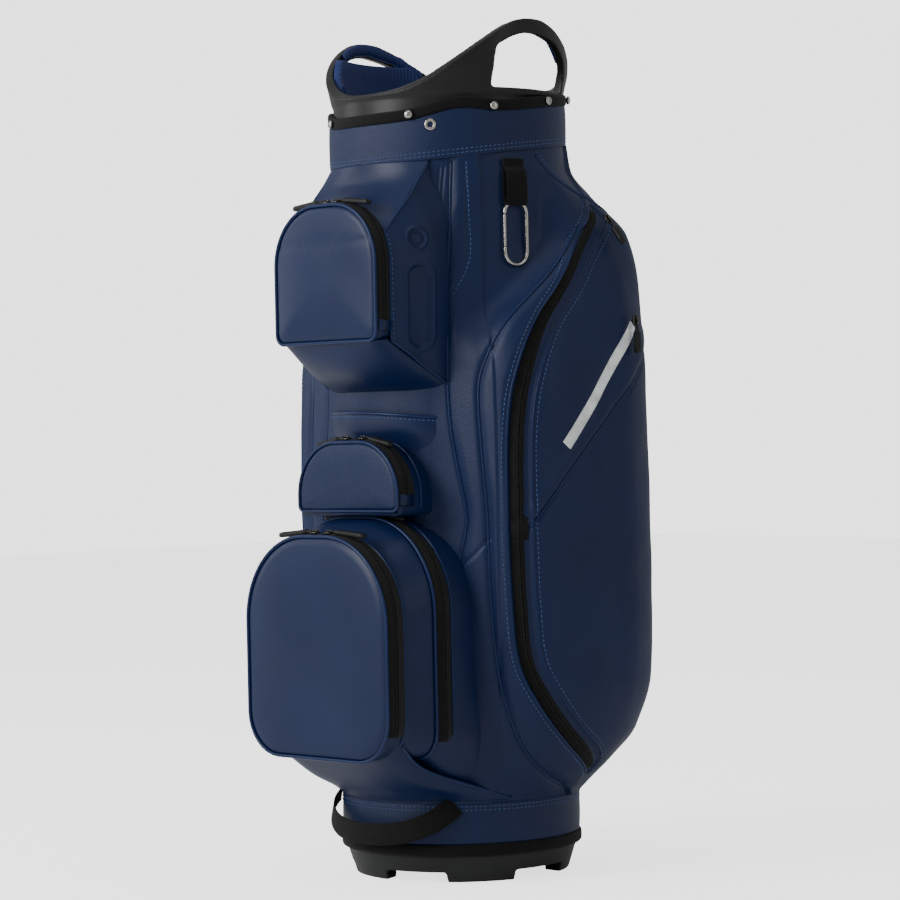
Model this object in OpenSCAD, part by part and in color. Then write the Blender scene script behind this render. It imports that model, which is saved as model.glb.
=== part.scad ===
// Golf cart bag: a round trunk on a moulded base, a moulded top with two handles,
// a column of zipped pockets at the front (-Y) and a tall pocket on each side (+X and -X).

/* [Overall] */
// Height of the handles' tops above the floor
bag_h = 935; // [930:1:940]
// Outer radius of the trunk's skin
trunk_r = 126; // [125:0.5:126.5]
// Outer radius of the padded cuffs at the top and the base
cuff_r = 132; // [131:0.5:133]
// Thickness of padded skins and pocket walls
wall = 3; // [2.5:0.1:3.2]

/* [Base] */
// Height of the moulded base below its black binding
base_h = 29; // [27:1:30]
// Height of the top edge of the base cuff
base_cuff_top = 86; // [82:1:90]
// Height of the notches between the feet
notch_h = 11; // [8:1:13]

/* [Top] */
// Height of the upper cuff's stitched lower edge on the bag's axis
cuff_low = 793; // [790:1:796]
// Rise of the upper cuff towards the back, in degrees
cuff_tilt = 7; // [6:0.5:8]
// Height of the low front lip of the collar
lip_z = 857; // [854:1:860]
// Height of the sill of the handle windows
sill_z = 859; // [857:1:861]
// Height of the underside of the handles' arches
arch_z = 918; // [914:1:920]

/* [Side pockets] */
// Half width over both side pockets
side_x = 196; // [193:1:198]
// Lowest point of the side pockets
side_low = 104; // [100:1:106]
// Highest point of the side pockets
side_high = 776; // [772:1:777]

/* [Front pockets] */
// Half width of the upper pocket
upper_hw = 78; // [76:1:79]
// Distance of the upper pocket's face in front of the axis
upper_y = 192; // [190:1:194]
// Half width of the middle pocket
middle_hw = 77; // [75:1:78]
// Distance of the middle pocket's face in front of the axis
middle_y = 165; // [163:1:166]
// Half width of the lower pocket's front box
lower_hw = 106; // [104:1:107]
// Distance of the lower pocket's face in front of the axis
lower_y = 216; // [214:1:218]
// Half width of the lower pocket's rear layer
rear_hw = 122; // [121:1:123]
// Distance of the rear layer's panel in front of the axis
rear_y = 153; // [152:1:154]

/* [Hardware] */
// Radius of the eyelet's hole
eyelet_r = 3; // [2.8:0.1:3.4]
// Radius of the snap studs' heads
stud_r = 3.2; // [3:0.1:3.5]
// Thickness of the carabiner's wire
wire_d = 4; // [3.5:0.1:4.2]

/* [Hidden] */
$fn = 96;

navy = [0.11, 0.17, 0.29];
black = [0.08, 0.08, 0.08];
plastic = [0.2, 0.21, 0.2];
metal = [0.6, 0.6, 0.6];
gap = 0.3;

// Each front pocket's face: heights of its bottom and top, and radii of its top and bottom corners
upper_z = [586, 733];
upper_corner = [64, 10];
middle_z = [404, 478];
middle_corner = [58, 6];
rear_z = [141, 396];
rear_corner = [104, 20];
lower_z = [141, 378];
lower_corner = [90, 34];

// The zip's tape stands this far proud of a pocket's gusset
tape = 1.6;

// The moulded collar's wall, and the handles that bulge out of it
collar_in = 118;
collar_out = 127;
handle_out = 135;
collar_z = 815;

// ---------- shared shapes ----------

module ring(r_out, r_in, z0, z1) {
    translate([0, 0, z0])
        difference() {
            cylinder(r = r_out, h = z1 - z0);
            translate([0, 0, -1])
                cylinder(r = r_in, h = z1 - z0 + 2);
        }
}

// A ring between two planes that rise towards the back
module tilted_ring(r_out, r_in, z0, z1) {
    intersection() {
        ring(r_out, r_in, z0 - 60, z1 + 60);
        translate([0, 0, z0])
            rotate([cuff_tilt, 0, 0])
                translate([-200, -200, 0])
                    cube([400, 400, z1 - z0]);
    }
}

// Part of a ring, between two angles less than 180 degrees apart
module sector(r_out, r_in, z0, z1, a0, a1) {
    far = 400;
    middle = (a0 + a1) / 2;
    intersection() {
        ring(r_out, r_in, z0, z1);
        translate([0, 0, z0 - 1])
            linear_extrude(z1 - z0 + 2)
                polygon([
                    [0, 0], far * [cos(a0), sin(a0)], 2 * far * [cos(middle), sin(middle)],
                    far * [cos(a1), sin(a1)],
                ]);
    }
}

// Stands a shape drawn in (x, z) up, from y_back to y_front in front of the axis
module stand(y_back, y_front) {
    translate([0, -y_back, 0])
        rotate([90, 0, 0])
            linear_extrude(y_front - y_back)
                children();
}

// Lays a shape drawn in (y, z) along X, from x0 to x1
module side_slab(x0, x1) {
    translate([x0, 0, 0])
        rotate([90, 0, 90])
            linear_extrude(x1 - x0)
                children();
}

// A pocket's face: straight sides and round corners
module face(half_w, z, corner, grow = 0) {
    w = half_w + grow;
    low = z[0] - grow;
    high = z[1] + grow;
    top = corner[0] + grow;
    bottom = corner[1] + grow;
    union() {
        translate([-w + top, low + bottom])
            square([2 * (w - top), high - low - bottom]);
        translate([-w, low + bottom])
            square([2 * w, high - low - bottom - top]);
        translate([-w + bottom, low])
            square([2 * (w - bottom), bottom + 1]);
        for (side = [-1, 1]) {
            translate([side * (w - top), high - top])
                intersection() {
                    circle(top);
                    translate([-top, 0])
                        square([2 * top, top]);
                }
            translate([side * (w - bottom), low + bottom])
                circle(bottom);
        }
    }
}

// The walls round a pocket, open at the front; the trunk closes its back
module gusset(half_w, z, corner, y_back, y_front) {
    difference() {
        stand(y_back, y_front)
            face(half_w, z, corner);
        stand(y_back - 1, y_front + 1)
            face(half_w, z, corner, -wall);
        cylinder(r = trunk_r + gap, h = bag_h);
    }
}

// The zip's tape over the top and down the sides of a pocket, ending above its bottom edge
module arch_zip(half_w, z, corner, y_back, y_front) {
    difference() {
        stand(y_back, y_front)
            face(half_w, z, corner, tape);
        stand(y_back - 1, y_front + 1)
            face(half_w, z, corner, gap / 2);
        translate([-300, -400, 0])
            cube([600, 400, z[0] + corner[1] + 4]);
    }
}

// A zip's slider, its back on z = 0, drawn for a pull that lies along +X
module slider_body() {
    translate([-6, -5, 0])
        cube([12, 10, 3.5]);
    translate([-4, -1.5, 3.5])
        cube([7, 3, 2]);
}

// The rubber pull beside it, with the eye that goes round the slider's bridge
module slider_pull(length) {
    translate([6 + gap, -3, 1])
        cube([length, 6, 3.5]);
}

// ---------- base ----------

module base_cup() {
    color(plastic)
        difference() {
            rotate_extrude()
                polygon([
                    [0, 0], [22, 0], [22, 8], [98, 8], [98, 0], [119, 0], [128, base_h],
                    [126, base_h], [126, 46], [120, 46], [120, 14], [0, 14],
                ]);
            // Five feet stand on the floor, with a notch after each
            for (k = [0 : 4])
                rotate([0, 0, 1 + 72 * k])
                    translate([90, -36, -1])
                        cube([50, 72, notch_h + 1]);
        }
}

module base_binding() {
    color(black)
        ring(cuff_r + 1.5, 126 + gap, base_h + gap, 42);
}

module base_cuff() {
    color(navy)
        ring(cuff_r, trunk_r + gap, 46 + gap, base_cuff_top);
}

// ---------- trunk and what holds it up ----------

module trunk_skin() {
    color(navy)
        ring(trunk_r, trunk_r - wall, 46 + gap, collar_z);
}

module stay_rods() {
    color(metal)
        for (a = [90, 210, 330])
            rotate([0, 0, a])
                translate([116, 0, 14 + gap])
                    cylinder(r = 3.2, h = 797);
}

// Walls between the club wells stand at these places across (y) and along (x) the bag.
// The last row, at the back, has one wall, so there are fourteen wells.
row_y = [-66, -23, 23, 66];
column_x = [-36, 36];
well_r = 112;

function row_start(k) = k == 0 ? -115 : row_y[k - 1];
function row_end(k) = k == len(row_y) ? 115 : row_y[k];
function row_walls(k) = k == len(row_y) ? [0] : column_x;

module divider_sheets() {
    sheet = 1.2;
    color([0.25, 0.25, 0.27])
        intersection() {
            union() {
                for (y = row_y)
                    translate([-130, y - sheet / 2, 14 + gap])
                        cube([260, sheet, 796]);
                for (k = [0 : len(row_y)])
                    for (x = row_walls(k))
                        translate([x - sheet / 2, row_start(k) + 1, 14 + gap])
                            cube([sheet, row_end(k) - row_start(k) - 2, 796]);
            }
            cylinder(r = well_r, h = bag_h);
        }
}

module divider_grid() {
    rib = 5;
    color(black)
        difference() {
            translate([0, 0, 812])
                cylinder(r = collar_in - gap, h = 26);
            intersection() {
                translate([0, 0, 800])
                    cylinder(r = well_r, h = 60);
                difference() {
                    translate([-130, -130, 790])
                        cube([260, 260, 80]);
                    for (y = row_y)
                        translate([-140, y - rib / 2, 780])
                            cube([280, rib, 100]);
                    for (k = [0 : len(row_y)])
                        for (x = row_walls(k))
                            translate([x - rib / 2, row_start(k), 780])
                                cube([rib, row_end(k) - row_start(k), 100]);
                }
            }
        }
}

// ---------- moulded top ----------

// The collar's outline seen from the side, in (y, z): low at the front and the back,
// and up to a handle in between
module rim_outline() {
    back_z = lip_z + 15;
    polygon([
        [-140, collar_z], [-140, lip_z - 3], [-118, lip_z], [-105, lip_z + 14], [-85, lip_z + 42],
        [-55, bag_h - 20], [-35, bag_h - 6], [-15, bag_h], [10, bag_h - 1], [45, bag_h - 12],
        [75, bag_h - 32], [90, bag_h - 52], [98, back_z], [140, back_z], [140, collar_z],
    ]);
}

module window_outline() {
    polygon([
        [-50, sill_z], [-50, arch_z - 16], [-24, arch_z - 3], [0, arch_z], [36, arch_z - 8],
        [60, arch_z - 26], [68, arch_z - 40], [68, sill_z],
    ]);
}

module top_collar() {
    color(plastic) {
        difference() {
            intersection() {
                ring(collar_out, collar_in, collar_z + gap, bag_h + 1);
                side_slab(-200, 200)
                    rim_outline();
            }
            side_slab(-200, 200)
                window_outline();
        }
        difference() {
            intersection() {
                ring(handle_out, collar_out - 1, lip_z + 20, bag_h + 1);
                side_slab(-200, 200)
                    rim_outline();
            }
            side_slab(-200, 200)
                window_outline();
            translate([-200, 86, 800])
                cube([400, 100, 200]);
            translate([-200, -186, 800])
                cube([400, 100, 200]);
        }
    }
}

// Ribbed rubber panel inside the left handle
module grip_liner() {
    color([0.1, 0.15, 0.35]) {
        sector(collar_in - gap, 108, 838 + gap, sill_z - 2, 145, 225);
        sector(111.5, 108, sill_z - 2, 912, 150, 220);
    }
}

// Ribbed rubber on the inner side of both handles' arches
module handle_grips() {
    color([0.1, 0.15, 0.35])
        intersection() {
            ring(collar_in - gap, collar_in - 3, arch_z - 30, bag_h);
            side_slab(-200, 200)
                polygon([
                    [-48, arch_z - 12], [-24, arch_z], [0, arch_z + 3], [36, arch_z - 5],
                    [60, arch_z - 22], [68, arch_z - 26], [45, bag_h - 17], [10, bag_h - 6],
                    [-15, bag_h - 5], [-35, bag_h - 11], [-48, bag_h - 20],
                ]);
        }
}

// Places a shape drawn along +X on the tilted cuff, at an angle round the bag
module on_cuff(angle, z) {
    rise = tan(cuff_tilt) * cuff_r * sin(angle);
    translate([0, 0, z + rise])
        rotate([0, 0, angle])
            rotate([0, 90, 0])
                children();
}

stud_angles = [-63, -23, 10, 45, 135, 170, 203, 243];
eyelet_angle = -53;
eyelet_z = 831;

module snap_studs() {
    color(metal)
        for (a = stud_angles)
            on_cuff(a, 844) {
                translate([0, 0, collar_out + 1])
                    cylinder(r = stud_r - 0.6, h = 6);
                translate([0, 0, cuff_r + 1.3])
                    cylinder(r = stud_r, h = 4.7);
            }
}

module eyelet() {
    color(metal)
        on_cuff(eyelet_angle, eyelet_z)
            translate([0, 0, collar_out + 1])
                difference() {
                    cylinder(r = 6.5, h = 6);
                    translate([0, 0, -1])
                        cylinder(r = eyelet_r, h = 8);
                }
}

module collar_cuff() {
    color(navy)
        difference() {
            tilted_ring(cuff_r, collar_out + gap, cuff_low, 838);
            for (a = stud_angles)
                on_cuff(a, 844)
                    translate([0, 0, 100])
                        cylinder(r = stud_r + gap, h = 50);
            on_cuff(eyelet_angle, eyelet_z)
                translate([0, 0, 100])
                    cylinder(r = 6.5 + gap, h = 50);
        }
}

module collar_binding() {
    color(black)
        difference() {
            tilted_ring(cuff_r + 1, collar_out + gap, 838 + gap, 850);
            for (a = stud_angles)
                on_cuff(a, 844)
                    translate([0, 0, 100])
                        cylinder(r = stud_r + gap, h = 50);
            on_cuff(eyelet_angle, eyelet_z)
                translate([0, 0, 100])
                    cylinder(r = 6.5 + gap, h = 50);
        }
}

// ---------- back ----------

back_y = 140;
ring_z = [716, 300];

module back_panel() {
    color(navy)
        difference() {
            translate([-54, 90, 110])
                cube([108, back_y - 90, 660]);
            cylinder(r = trunk_r + gap, h = bag_h);
        }
}

module strap_rings() {
    color(metal)
        for (z = ring_z)
            translate([0, back_y + 4, z])
                rotate([90, 0, 0])
                    rotate_extrude()
                        translate([20, 0])
                            circle(2, $fn = 24);
}

// The strap bows out from the lower ring to the upper one
module shoulder_strap() {
    bow_r = 520;
    half = (ring_z[0] - ring_z[1]) / 2 - 24;
    bow = sqrt(bow_r * bow_r - half * half);
    color(black)
        translate([-24, back_y + 4.8 - bow, (ring_z[0] + ring_z[1]) / 2])
            rotate([90, 0, 90])
                linear_extrude(48)
                    intersection() {
                        difference() {
                            circle(bow_r + 4, $fn = 360);
                            circle(bow_r - 4, $fn = 360);
                        }
                        translate([0, -half])
                            square([bow_r + 20, 2 * half]);
                    }
}

// ---------- carabiner ----------

hang_angle = -14;
hang_r = 139;
loop_r = 14;
loop_half = 20.5;
loop_z = 700.5;

// A frame on the trunk's surface: +X outwards, +Y round the bag
module hang() {
    rotate([0, 0, hang_angle])
        translate([hang_r, 0, loop_z])
            children();
}

module webbing_tab() {
    color(black)
        hang() {
            translate([-5, -13, 40])
                cube([2.5, 26, 36]);
            translate([3, -13, 40])
                cube([2.5, 26, 24]);
            translate([-5, -13, 64])
                cube([10.5, 26, 3]);
        }
}

module carabiner() {
    color(metal)
        hang() {
            for (turn = [0, 180])
                rotate([turn, 0, 0])
                    translate([0, 0, loop_half])
                        rotate([90, 0, 90])
                            rotate_extrude(angle = 180)
                                translate([loop_r, 0])
                                    circle(d = wire_d, $fn = 32);
            translate([0, loop_r, -loop_half])
                cylinder(d = wire_d, h = 2 * loop_half, $fn = 32);
            translate([0, -loop_r, -loop_half])
                cylinder(d = wire_d, h = 5, $fn = 32);
        }
}

// Sprung gate on the front side of the loop, hinged at its lower end
module carabiner_gate() {
    color(metal)
        hang()
            translate([0, -loop_r, -loop_half + 5.7])
                cylinder(d = wire_d - 0.6, h = 2 * loop_half - 5.7 - gap, $fn = 32);
}

// ---------- lift strap at the front of the base ----------

module lift_strap() {
    color(black) {
        sector(148, 146, 48, 72, -132, -48);
        for (a = [-132, -51])
            sector(147, cuff_r + 1.3, 56, 66, a, a + 3);
    }
}

// ---------- slip pocket between the upper and the middle pocket ----------

module slip_pocket() {
    color(navy) {
        sector(141, 138, 483, 525, -128, -52);
        sector(138.1, trunk_r + gap, 483, 486, -128, -52);
        for (a = [-128, -54])
            sector(138.1, trunk_r + gap, 485.9, 520, a, a + 2);
    }
}

// ---------- side pockets ----------

// Seen from above, in (x, y), for the right-hand side
side_plan = [
    [100, -76], [150, -76], [172, -58], [188, -20], [side_x, 30], [side_x, 80], [186, 108],
    [160, 124], [118, 130], [62, 134], [62, 60],
];
// Seen from the front, in (x, z)
side_front = [
    [50, side_low], [140, side_low], [165, 140], [190, 215], [side_x, 250], [side_x, 600],
    [193, 645], [178, 698], [157, 728], [129, side_high], [50, side_high],
];
// Seen from the right, in (y, z)
side_edge = [
    [-60, 490], [-60, 300], [-42, 222], [8, 165], [48, side_low], [140, side_low],
    [140, side_high], [96, side_high], [84, 724], [12, 650], [-42, 572],
];
side_middle = [130, 30, 440];

// An outline drawn smaller, towards a point inside it
function shrunk(points, centre, share) = [for (p = points) centre + (p - centre) * share];

module side_solid(share) {
    intersection() {
        translate([0, 0, 50])
            linear_extrude(800)
                polygon(shrunk(side_plan, [side_middle[0], side_middle[1]], share));
        translate([0, 300, 0])
            rotate([90, 0, 0])
                linear_extrude(600)
                    polygon(shrunk(side_front, [side_middle[0], side_middle[2]], share));
        side_slab(0, 300)
            polygon(shrunk(side_edge, [side_middle[1], side_middle[2]], share));
    }
}

module side_pocket() {
    color(navy)
        difference() {
            side_solid(1);
            side_solid(0.95);
            cylinder(r = trunk_r + gap, h = bag_h);
            // The mouth behind the zip
            translate([142, -100, 300])
                cube([16, 60, 180]);
        }
}

// The long zip runs in a C from the shoulder, down the pocket's front edge and back to the base
side_path = [
    [163, 68, 724], [172, 0, 648], [170, -50, 576], [165, -72, 492], [165, -72, 298],
    [168, -54, 214], [162, -6, 152], [150, 36, 118],
];

module side_zip() {
    width = 6;
    color(black)
        for (k = [0 : len(side_path) - 2]) {
            start = side_path[k];
            along = side_path[k + 1] - start;
            level = norm([along[0], along[1]]);
            translate(start + [3, -6, 0])
                rotate([0, atan2(level, along[2]), atan2(along[1], along[0])])
                    translate([-width / 2, -width / 2, 0])
                        cube([width, width, norm(along) - 2]);
        }
}

// The slash pocket's pale welt, from its lower front end to its upper back end, in (y, z)
slash_low = [-24, 470];
slash_high = [72, 590];
slash_tilt = atan2(slash_high[1] - slash_low[1], slash_high[0] - slash_low[0]);

module slash_welt() {
    color([0.75, 0.78, 0.78])
        side_slab(side_x + gap, side_x + 2)
            translate(slash_low)
                rotate(slash_tilt)
                    translate([0, -6])
                        square([norm(slash_high - slash_low), 12]);
}

side_slider_at = [172, 72, 716];
side_slider_turn = 55;
slash_slider_at = [side_x + 2 + gap, 84, 605];
side_pull_length = 30;

// The side zip's slider lies on the pocket's sloping shoulder
module side_hanging() {
    translate(side_slider_at)
        rotate([0, side_slider_turn, 0])
            children();
}

module hanging(at) {
    translate(at)
        rotate([0, 90, 0])
            children();
}

// ---------- front pockets ----------

module upper_pocket() {
    color(navy) {
        gusset(upper_hw, upper_z, upper_corner, 90, upper_y - wall - gap);
        // Padded underside that runs down and back to the trunk
        difference() {
            side_slab(-upper_hw + 8, upper_hw - 8)
                polygon([
                    [-90, upper_z[0] - gap], [-upper_y + 8, upper_z[0] - gap], [-128, 532],
                    [-90, 532],
                ]);
            cylinder(r = trunk_r + gap, h = bag_h);
        }
    }
}

module middle_pocket() {
    color(navy)
        gusset(middle_hw, middle_z, middle_corner, 90, middle_y - wall - gap);
}

// The rear layer's walls end at the side pockets' front faces
module rear_gusset() {
    color(navy)
        difference() {
            gusset(rear_hw, rear_z, rear_corner, 40, rear_y - wall - gap);
            side_solid(1.005);
            mirror([1, 0, 0])
                side_solid(1.005);
        }
}

// The rear layer's panel, which carries the front box
module rear_panel() {
    color(navy)
        stand(rear_y - wall, rear_y)
            face(rear_hw, rear_z, rear_corner);
}

module lower_box() {
    color(navy)
        difference() {
            stand(rear_y + gap, lower_y - wall - gap)
                face(lower_hw, lower_z, lower_corner);
            stand(rear_y, lower_y)
                face(lower_hw, lower_z, lower_corner, -wall);
        }
}

module pocket_door(half_w, z, corner, y) {
    color(navy)
        stand(y - wall, y)
            face(half_w, z, corner);
}

// A slider on the top of a pocket, just inside the start of its top corner
module arch_slider(half_w, z, corner, y) {
    translate([half_w - corner[0] - 6, -y, z[1] + tape + gap])
        slider_body();
}

module arch_pull(half_w, z, corner, y, length) {
    translate([half_w - corner[0] - 6, -y, z[1] + tape + gap])
        rotate([0, 4, 0])
            slider_pull(length);
}

zip_half = 8;
upper_zip_y = upper_y - wall - zip_half - 2;
middle_zip_y = middle_y - wall - zip_half - 2;
rear_zip_y = rear_y - wall - zip_half - 2;
lower_zip_y = lower_y - wall - zip_half - 2;

module pocket_zip(half_w, z, corner, y) {
    color(black)
        arch_zip(half_w, z, corner, y - zip_half, y + zip_half);
}

// ---------- assembly ----------

base_cup();
base_binding();
base_cuff();
trunk_skin();
stay_rods();
divider_sheets();
divider_grid();
top_collar();
grip_liner();
handle_grips();
collar_cuff();
collar_binding();
snap_studs();
eyelet();
back_panel();
strap_rings();
shoulder_strap();
webbing_tab();
carabiner();
carabiner_gate();
lift_strap();
slip_pocket();
for (side = ["right", "left"])
    mirror([side == "left" ? 1 : 0, 0, 0]) {
        side_pocket();
        side_zip();
        slash_welt();
        side_hanging() slider_body();
        side_hanging() slider_pull(side_pull_length);
        hanging(slash_slider_at) slider_body();
        hanging(slash_slider_at) slider_pull(side_pull_length);
        arch_slider(upper_hw, upper_z, upper_corner, upper_zip_y);
        arch_pull(upper_hw, upper_z, upper_corner, upper_zip_y, 48);
        arch_slider(middle_hw, middle_z, middle_corner, middle_zip_y);
        arch_slider(rear_hw, rear_z, rear_corner, rear_zip_y);
        arch_slider(lower_hw, lower_z, lower_corner, lower_zip_y);
        arch_pull(lower_hw, lower_z, lower_corner, lower_zip_y, 52);
    }
upper_pocket();
pocket_zip(upper_hw, upper_z, upper_corner, upper_zip_y);  // upper_zip
pocket_door(upper_hw, upper_z, upper_corner, upper_y);  // upper_door
middle_pocket();
pocket_zip(middle_hw, middle_z, middle_corner, middle_zip_y);  // middle_zip
pocket_door(middle_hw, middle_z, middle_corner, middle_y);  // middle_door
rear_gusset();
pocket_zip(rear_hw, rear_z, rear_corner, rear_zip_y);  // rear_zip
rear_panel();
lower_box();
pocket_zip(lower_hw, lower_z, lower_corner, lower_zip_y);  // lower_zip
pocket_door(lower_hw, lower_z, lower_corner, lower_y);  // lower_door
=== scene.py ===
"""Golf cart bag: the looks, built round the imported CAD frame. All sizes are metres, in the bag's own frame."""
import math

import bmesh
import bpy
import numpy as np
from mathutils import Matrix, Vector


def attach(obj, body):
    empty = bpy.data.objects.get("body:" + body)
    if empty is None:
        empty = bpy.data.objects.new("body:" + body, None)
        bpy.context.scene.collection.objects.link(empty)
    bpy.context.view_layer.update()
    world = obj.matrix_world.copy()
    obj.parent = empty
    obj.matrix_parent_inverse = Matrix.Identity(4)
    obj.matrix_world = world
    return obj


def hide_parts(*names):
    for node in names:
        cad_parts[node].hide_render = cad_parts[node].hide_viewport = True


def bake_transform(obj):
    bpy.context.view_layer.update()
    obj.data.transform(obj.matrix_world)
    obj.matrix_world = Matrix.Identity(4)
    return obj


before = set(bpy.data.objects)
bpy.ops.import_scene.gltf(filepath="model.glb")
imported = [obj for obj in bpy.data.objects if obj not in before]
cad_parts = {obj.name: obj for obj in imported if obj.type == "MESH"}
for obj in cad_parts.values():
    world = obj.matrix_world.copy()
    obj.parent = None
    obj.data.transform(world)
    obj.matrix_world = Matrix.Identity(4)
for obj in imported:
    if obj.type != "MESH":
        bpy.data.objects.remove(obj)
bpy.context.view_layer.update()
MM = 0.001

# ---------- driving sizes, as in the CAD ----------
CUFF_R = 0.132
CUFF_TILT = math.radians(7)
UPPER = {"half_w": 0.078, "y": 0.192, "z": (0.586, 0.733), "corner": (0.064, 0.010)}
MIDDLE = {"half_w": 0.077, "y": 0.165, "z": (0.404, 0.478), "corner": (0.058, 0.006)}
REAR = {"half_w": 0.117, "y": 0.153, "z": (0.141, 0.396), "corner": (0.099, 0.030)}
LOWER = {"half_w": 0.109, "y": 0.216, "z": (0.141, 0.378), "corner": (0.092, 0.046)}
WALL = 0.003
ZIP_HALF = 0.008
PIPING = 0.0019


# ---------- camera, floor and light ----------
def look_at(obj, target, roll=0.0):
    direction = Vector(target) - obj.location
    turn = direction.to_track_quat("-Z", "Y").to_matrix().to_4x4()
    obj.rotation_euler = (turn @ Matrix.Rotation(roll, 4, "Z")).to_euler()


def make_camera():
    azimuth = math.radians(45)
    distance = 3.31
    data = bpy.data.cameras.new("camera")
    data.lens = 118.2
    data.sensor_width = 36
    camera = bpy.data.objects.new("camera", data)
    bpy.context.scene.collection.objects.link(camera)
    side = Vector((math.cos(azimuth), math.sin(azimuth), 0)) * -0.0045
    camera.location = Vector((math.sin(azimuth), -math.cos(azimuth), 0)) * distance + side
    camera.location.z = 0.485
    look_at(camera, side + Vector((0, 0, 0.467)), math.radians(-1.2))
    bpy.context.scene.camera = camera


def area_light(name, place, target, size, power):
    data = bpy.data.lights.new(name, "AREA")
    data.shape = "RECTANGLE"
    data.size, data.size_y = size
    data.energy = power
    light = bpy.data.objects.new(name, data)
    bpy.context.scene.collection.objects.link(light)
    light.location = place
    look_at(light, target)


def camera_only(tree, socket, otherwise, seen):
    """One value for what the camera sees directly, another for the light that falls on the bag."""
    path = tree.nodes.new("ShaderNodeLightPath")
    choice = tree.nodes.new("ShaderNodeMapRange")
    choice.inputs["To Min"].default_value = otherwise
    choice.inputs["To Max"].default_value = seen
    tree.links.new(path.outputs["Is Camera Ray"], choice.inputs["Value"])
    tree.links.new(choice.outputs["Result"], socket)


def make_studio():
    half = 8
    mesh = bpy.data.meshes.new("floor")
    mesh.from_pydata([(-half, -half, 0), (half, -half, 0), (half, half, 0), (-half, half, 0)], [], [(0, 1, 2, 3)])
    floor = bpy.data.objects.new("floor", mesh)
    bpy.context.scene.collection.objects.link(floor)
    material = bpy.data.materials.new("floor")
    material.use_nodes = True
    bsdf = material.node_tree.nodes["Principled BSDF"]
    bsdf.inputs["Base Color"].default_value = (0.92, 0.92, 0.92, 1)
    bsdf.inputs["Roughness"].default_value = 0.75
    bsdf.inputs["Emission Color"].default_value = (1, 1, 1, 1)
    camera_only(material.node_tree, bsdf.inputs["Emission Strength"], 0.0, 1.9)
    mesh.materials.append(material)
    world = bpy.data.worlds.new("studio")
    world.use_nodes = True
    background = world.node_tree.nodes["Background"]
    background.inputs["Color"].default_value = (1, 1, 1, 1)
    camera_only(world.node_tree, background.inputs["Strength"], 0.45, 2.6)
    bpy.context.scene.world = world
    area_light("key", (-1.0, -3.1, 1.9), (0, 0, 0.5), (1.4, 2.0), 92)
    area_light("rim_left", (-2.6, -1.2, 1.4), (0, 0, 0.5), (0.6, 2.0), 14)
    area_light("rim_right", (2.8, 0.4, 1.5), (0, 0, 0.5), (0.5, 2.2), 6)
    area_light("top", (0.3, -0.6, 3.0), (0, 0, 0.6), (1.6, 1.6), 10)


# ---------- materials ----------
def new_material(name, color, rough, metallic=0.0, **sockets):
    material = bpy.data.materials.new(name)
    material.use_nodes = True
    bsdf = material.node_tree.nodes["Principled BSDF"]
    bsdf.inputs["Base Color"].default_value = (*color, 1)
    bsdf.inputs["Roughness"].default_value = rough
    bsdf.inputs["Metallic"].default_value = metallic
    for key, value in sockets.items():
        bsdf.inputs[key.replace("_", " ")].default_value = value
    return material, material.node_tree, bsdf


def node(tree, kind, **values):
    made = tree.nodes.new(kind)
    for key, value in values.items():
        if key in made.inputs:
            made.inputs[key].default_value = value
        else:
            setattr(made, key, value)
    return made


def vary(tree, bsdf, color, spread, scale, rough, rough_spread):
    """Slow changes of colour and roughness over the surface."""
    coord = node(tree, "ShaderNodeTexCoord")
    noise = node(tree, "ShaderNodeTexNoise", Scale=scale, Detail=4.0, Roughness=0.55)
    tree.links.new(coord.outputs["Object"], noise.inputs["Vector"])
    ramp = node(tree, "ShaderNodeValToRGB")
    ramp.color_ramp.elements[0].position = 0.3
    ramp.color_ramp.elements[1].position = 0.7
    ramp.color_ramp.elements[0].color = (*[c * (1 - spread) for c in color], 1)
    ramp.color_ramp.elements[1].color = (*[c * (1 + spread) for c in color], 1)
    tree.links.new(noise.outputs["Fac"], ramp.inputs["Fac"])
    tree.links.new(ramp.outputs["Color"], bsdf.inputs["Base Color"])
    spread_map = node(tree, "ShaderNodeMapRange")
    spread_map.inputs["To Min"].default_value = rough - rough_spread
    spread_map.inputs["To Max"].default_value = rough + rough_spread
    tree.links.new(noise.outputs["Fac"], spread_map.inputs["Value"])
    tree.links.new(spread_map.outputs["Result"], bsdf.inputs["Roughness"])
    return coord


def bump(tree, bsdf, height_socket, strength, distance, under=None):
    made = node(tree, "ShaderNodeBump", Strength=strength, Distance=distance)
    tree.links.new(height_socket, made.inputs["Height"])
    if under is not None:
        tree.links.new(under.outputs["Normal"], made.inputs["Normal"])
    tree.links.new(made.outputs["Normal"], bsdf.inputs["Normal"])
    return made


def leather(name, color, cell, depth, rough=0.46, spread=0.1):
    """Polyurethane leather: a fine embossed cell, soft creases and a satin coat."""
    material, tree, bsdf = new_material(name, color, rough)
    bsdf.inputs["Specular IOR Level"].default_value = 0.28
    coord = vary(tree, bsdf, color, spread, 9.0, rough, 0.05)
    crease = node(tree, "ShaderNodeTexNoise", Scale=55.0, Detail=5.0, Roughness=0.6)
    tree.links.new(coord.outputs["Object"], crease.inputs["Vector"])
    first = bump(tree, bsdf, crease.outputs["Fac"], 0.12, 0.0012)
    cells = node(tree, "ShaderNodeTexVoronoi", Scale=1.0 / cell)
    tree.links.new(coord.outputs["Object"], cells.inputs["Vector"])
    bump(tree, bsdf, cells.outputs["Distance"], 0.35, depth, first)
    return material


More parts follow.
